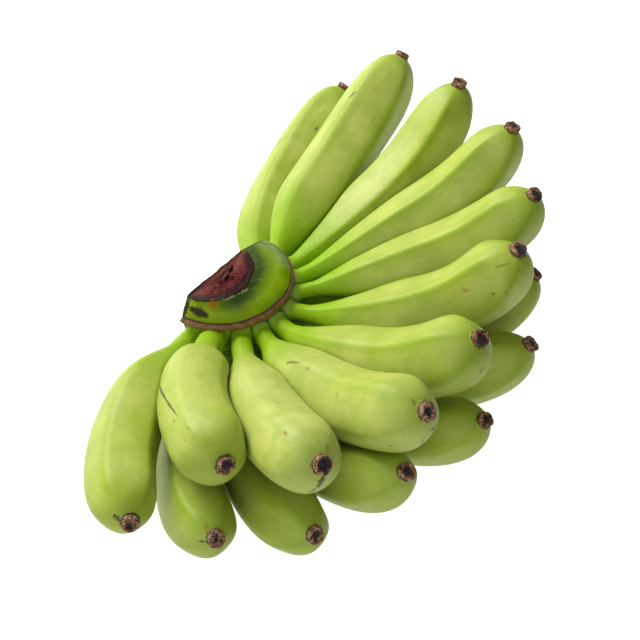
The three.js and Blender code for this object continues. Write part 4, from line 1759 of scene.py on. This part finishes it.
@dataclass(frozen=True)
class BractFinish:
    """Dry brown bract fibre, with painted shade along its upper and lower edges, for the groove above the
    lip and the shadow below it.
    """

    brown: Colour = paint(118, 76, 42)
    tan: Colour = paint(152, 110, 68)
    # painted shade: the dark tint on the lip's upper and lower edges stands for the groove and the shadow
    # there
    edge: Tint = Tint(paint(48, 30, 18), 1.0, (0.72, 0.95))
    fraying: Cloud = Cloud(300, 3, 0.6)
    roughness: float = 0.85
    relief: float = 0.0006

    def dress(self, piece: bpy.types.Object, effects: SharedEffects) -> None:
        """Makes the bract's material and puts it on.

        Args:
            piece: The lip.
            effects: The shared groups.
        """
        material, wiring, shader = start_material("dry_bract_fibre")
        along = wiring.field("along", vector=True)
        fibre = wiring.group(effects.fibres, Place=along, Threads=wiring.stretched(along, (0.12, 1, 1)))
        colour = wiring.mix(fibre.outputs["Tone"], self.brown, self.tan)
        fray = wiring.around_zero(wiring.noise(along, self.fraying), 0.5)
        # painted shade along the upper and lower edges of the lip
        edge = wiring.fade(wiring.plus(wiring.field("edge"), fray), self.edge.band)
        wiring.feed(shader.inputs["Base Color"], wiring.tint(colour, self.edge, edge))
        shader.inputs["Roughness"].default_value = self.roughness
        add_relief(wiring, shader, fibre.outputs["Height"], self.relief)
        piece.data.materials.append(material)


# Studio and camera


@dataclass(frozen=True)
class Studio:
    """A white table, white surroundings that are brighter to the left, a soft box there and a weaker
    one in front. Places and sizes are in metres, and powers in watts."""

    floor_half: float = 4.0
    floor_colour: Colour = (0.45, 0.45, 0.45)
    floor_glow: float = 0.94
    floor_bounce: float = 0.58
    sky_left: float = 0.5
    sky_right: float = 0.12
    sky_band: Band = (-0.8, 0.7)
    key_power: float = 19.5
    key_place: tuple[float, float, float] = (-0.62, 0.62, 0.85)
    key_size: float = 0.8
    fill_power: float = 3.0
    fill_place: tuple[float, float, float] = (-0.2, -0.9, 0.7)
    fill_size: float = 0.9
    lamps_aim: tuple[float, float, float] = (0, 0, 0.05)
    floor_roughness: float = 0.9
    floor_shine: float = 0.1

    def _floor(self) -> None:
        """The table top under the hand, a little self-lit as a light table is."""
        reach = self.floor_half
        mesh = bpy.data.meshes.new("table_top")
        corners = [(-reach, -reach, 0), (reach, -reach, 0), (reach, reach, 0), (-reach, reach, 0)]
        mesh.from_pydata(corners, [], [(0, 1, 2, 3)])
        floor = bpy.data.objects.new("table_top", mesh)
        bpy.context.scene.collection.objects.link(floor)
        material, wiring, shader = start_material("white_table")
        shader.inputs["Base Color"].default_value = (*self.floor_colour, 1)
        shader.inputs["Roughness"].default_value = self.floor_roughness
        shader.inputs["Specular IOR Level"].default_value = self.floor_shine
        shader.inputs["Emission Color"].default_value = (1, 1, 1, 1)
        seen = wiring.node("ShaderNodeLightPath").outputs["Is Camera Ray"]
        glow = wiring.math("MULTIPLY_ADD", seen, self.floor_glow - self.floor_bounce, self.floor_bounce)
        wiring.feed(shader.inputs["Emission Strength"], glow)
        mesh.materials.append(material)

    def _lamp(self, name: str, place: tuple[float, float, float], power: float, size: float) -> None:
        """One square soft box aimed at the middle of the hand."""
        data = bpy.data.lights.new(name, "AREA")
        data.shape = "SQUARE"
        data.size = size
        data.energy = power
        lamp = bpy.data.objects.new(name, data)
        lamp.location = place
        aim = Vector(self.lamps_aim) - Vector(place)
        lamp.rotation_mode = "QUATERNION"
        lamp.rotation_quaternion = aim.to_track_quat("-Z", "Y")
        bpy.context.scene.collection.objects.link(lamp)

    def build(self) -> None:
        """Makes the floor, the white surroundings, which are even as seen, and both soft boxes."""
        self._floor()
        world = bpy.data.worlds.new("white_surroundings")
        world.use_nodes = True
        background = world.node_tree.nodes["Background"]
        background.inputs["Color"].default_value = (1, 1, 1, 1)
        wiring = Wiring(world.node_tree)
        seen = wiring.node("ShaderNodeLightPath").outputs["Is Camera Ray"]
        way = wiring.node("ShaderNodeSeparateXYZ")
        wiring.feed(way.inputs[0], wiring.node("ShaderNodeTexCoord").outputs["Generated"])
        sky = wiring.step(way.outputs["X"], *self.sky_band, self.sky_left, self.sky_right)
        wiring.feed(background.inputs["Strength"], wiring.math("MAXIMUM", seen, sky))
        bpy.context.scene.world = world
        self._lamp("soft_box", self.key_place, self.key_power, self.key_size)
        self._lamp("front_fill", self.fill_place, self.fill_power, self.fill_size)
        bpy.context.scene.view_settings.view_transform = "Standard"


@dataclass(frozen=True)
class PhotoCamera:
    """The camera that the photograph was matched with: its place from the ring's centre in
    millimetres, its tilt down in degrees and its lens in millimetres."""

    from_ring: tuple[float, float, float] = (50.85, -452.6, 453.1)
    looks_down: float = 47.0
    lens: float = 63.72

    def build(self) -> None:
        """Makes the camera and sets it as the scene's."""
        data = bpy.data.cameras.new("camera")
        data.lens = self.lens
        data.sensor_width = 36.0
        data.clip_start = 0.01
        camera = bpy.data.objects.new("camera", data)
        camera.location = in_row_frame(*self.from_ring)
        camera.rotation_euler = (np.radians(90 - self.looks_down), 0, 0)
        bpy.context.scene.collection.objects.link(camera)
        bpy.context.scene.camera = camera


def main() -> None:
    """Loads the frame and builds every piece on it."""
    logging.basicConfig(level=logging.INFO, format="%(message)s")
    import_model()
    effects = SharedEffects()
    Hand(FingerForm()).build(PeelDresser(PeelFinish(), effects))
    crown = Crown()
    body = crown.build()
    CrownFinish().dress(body, effects, CROWN_MARKS)
    hand_over(body, Slot.CROWN_SKIN, "crown")
    scar = BractScar().build(crown)
    BractFinish().dress(scar, effects)
    hand_over(scar, Slot.DRY_BRACT, "bract_scar")
    Studio().build()
    PhotoCamera().build()


if __name__ == "__main__":
    main()
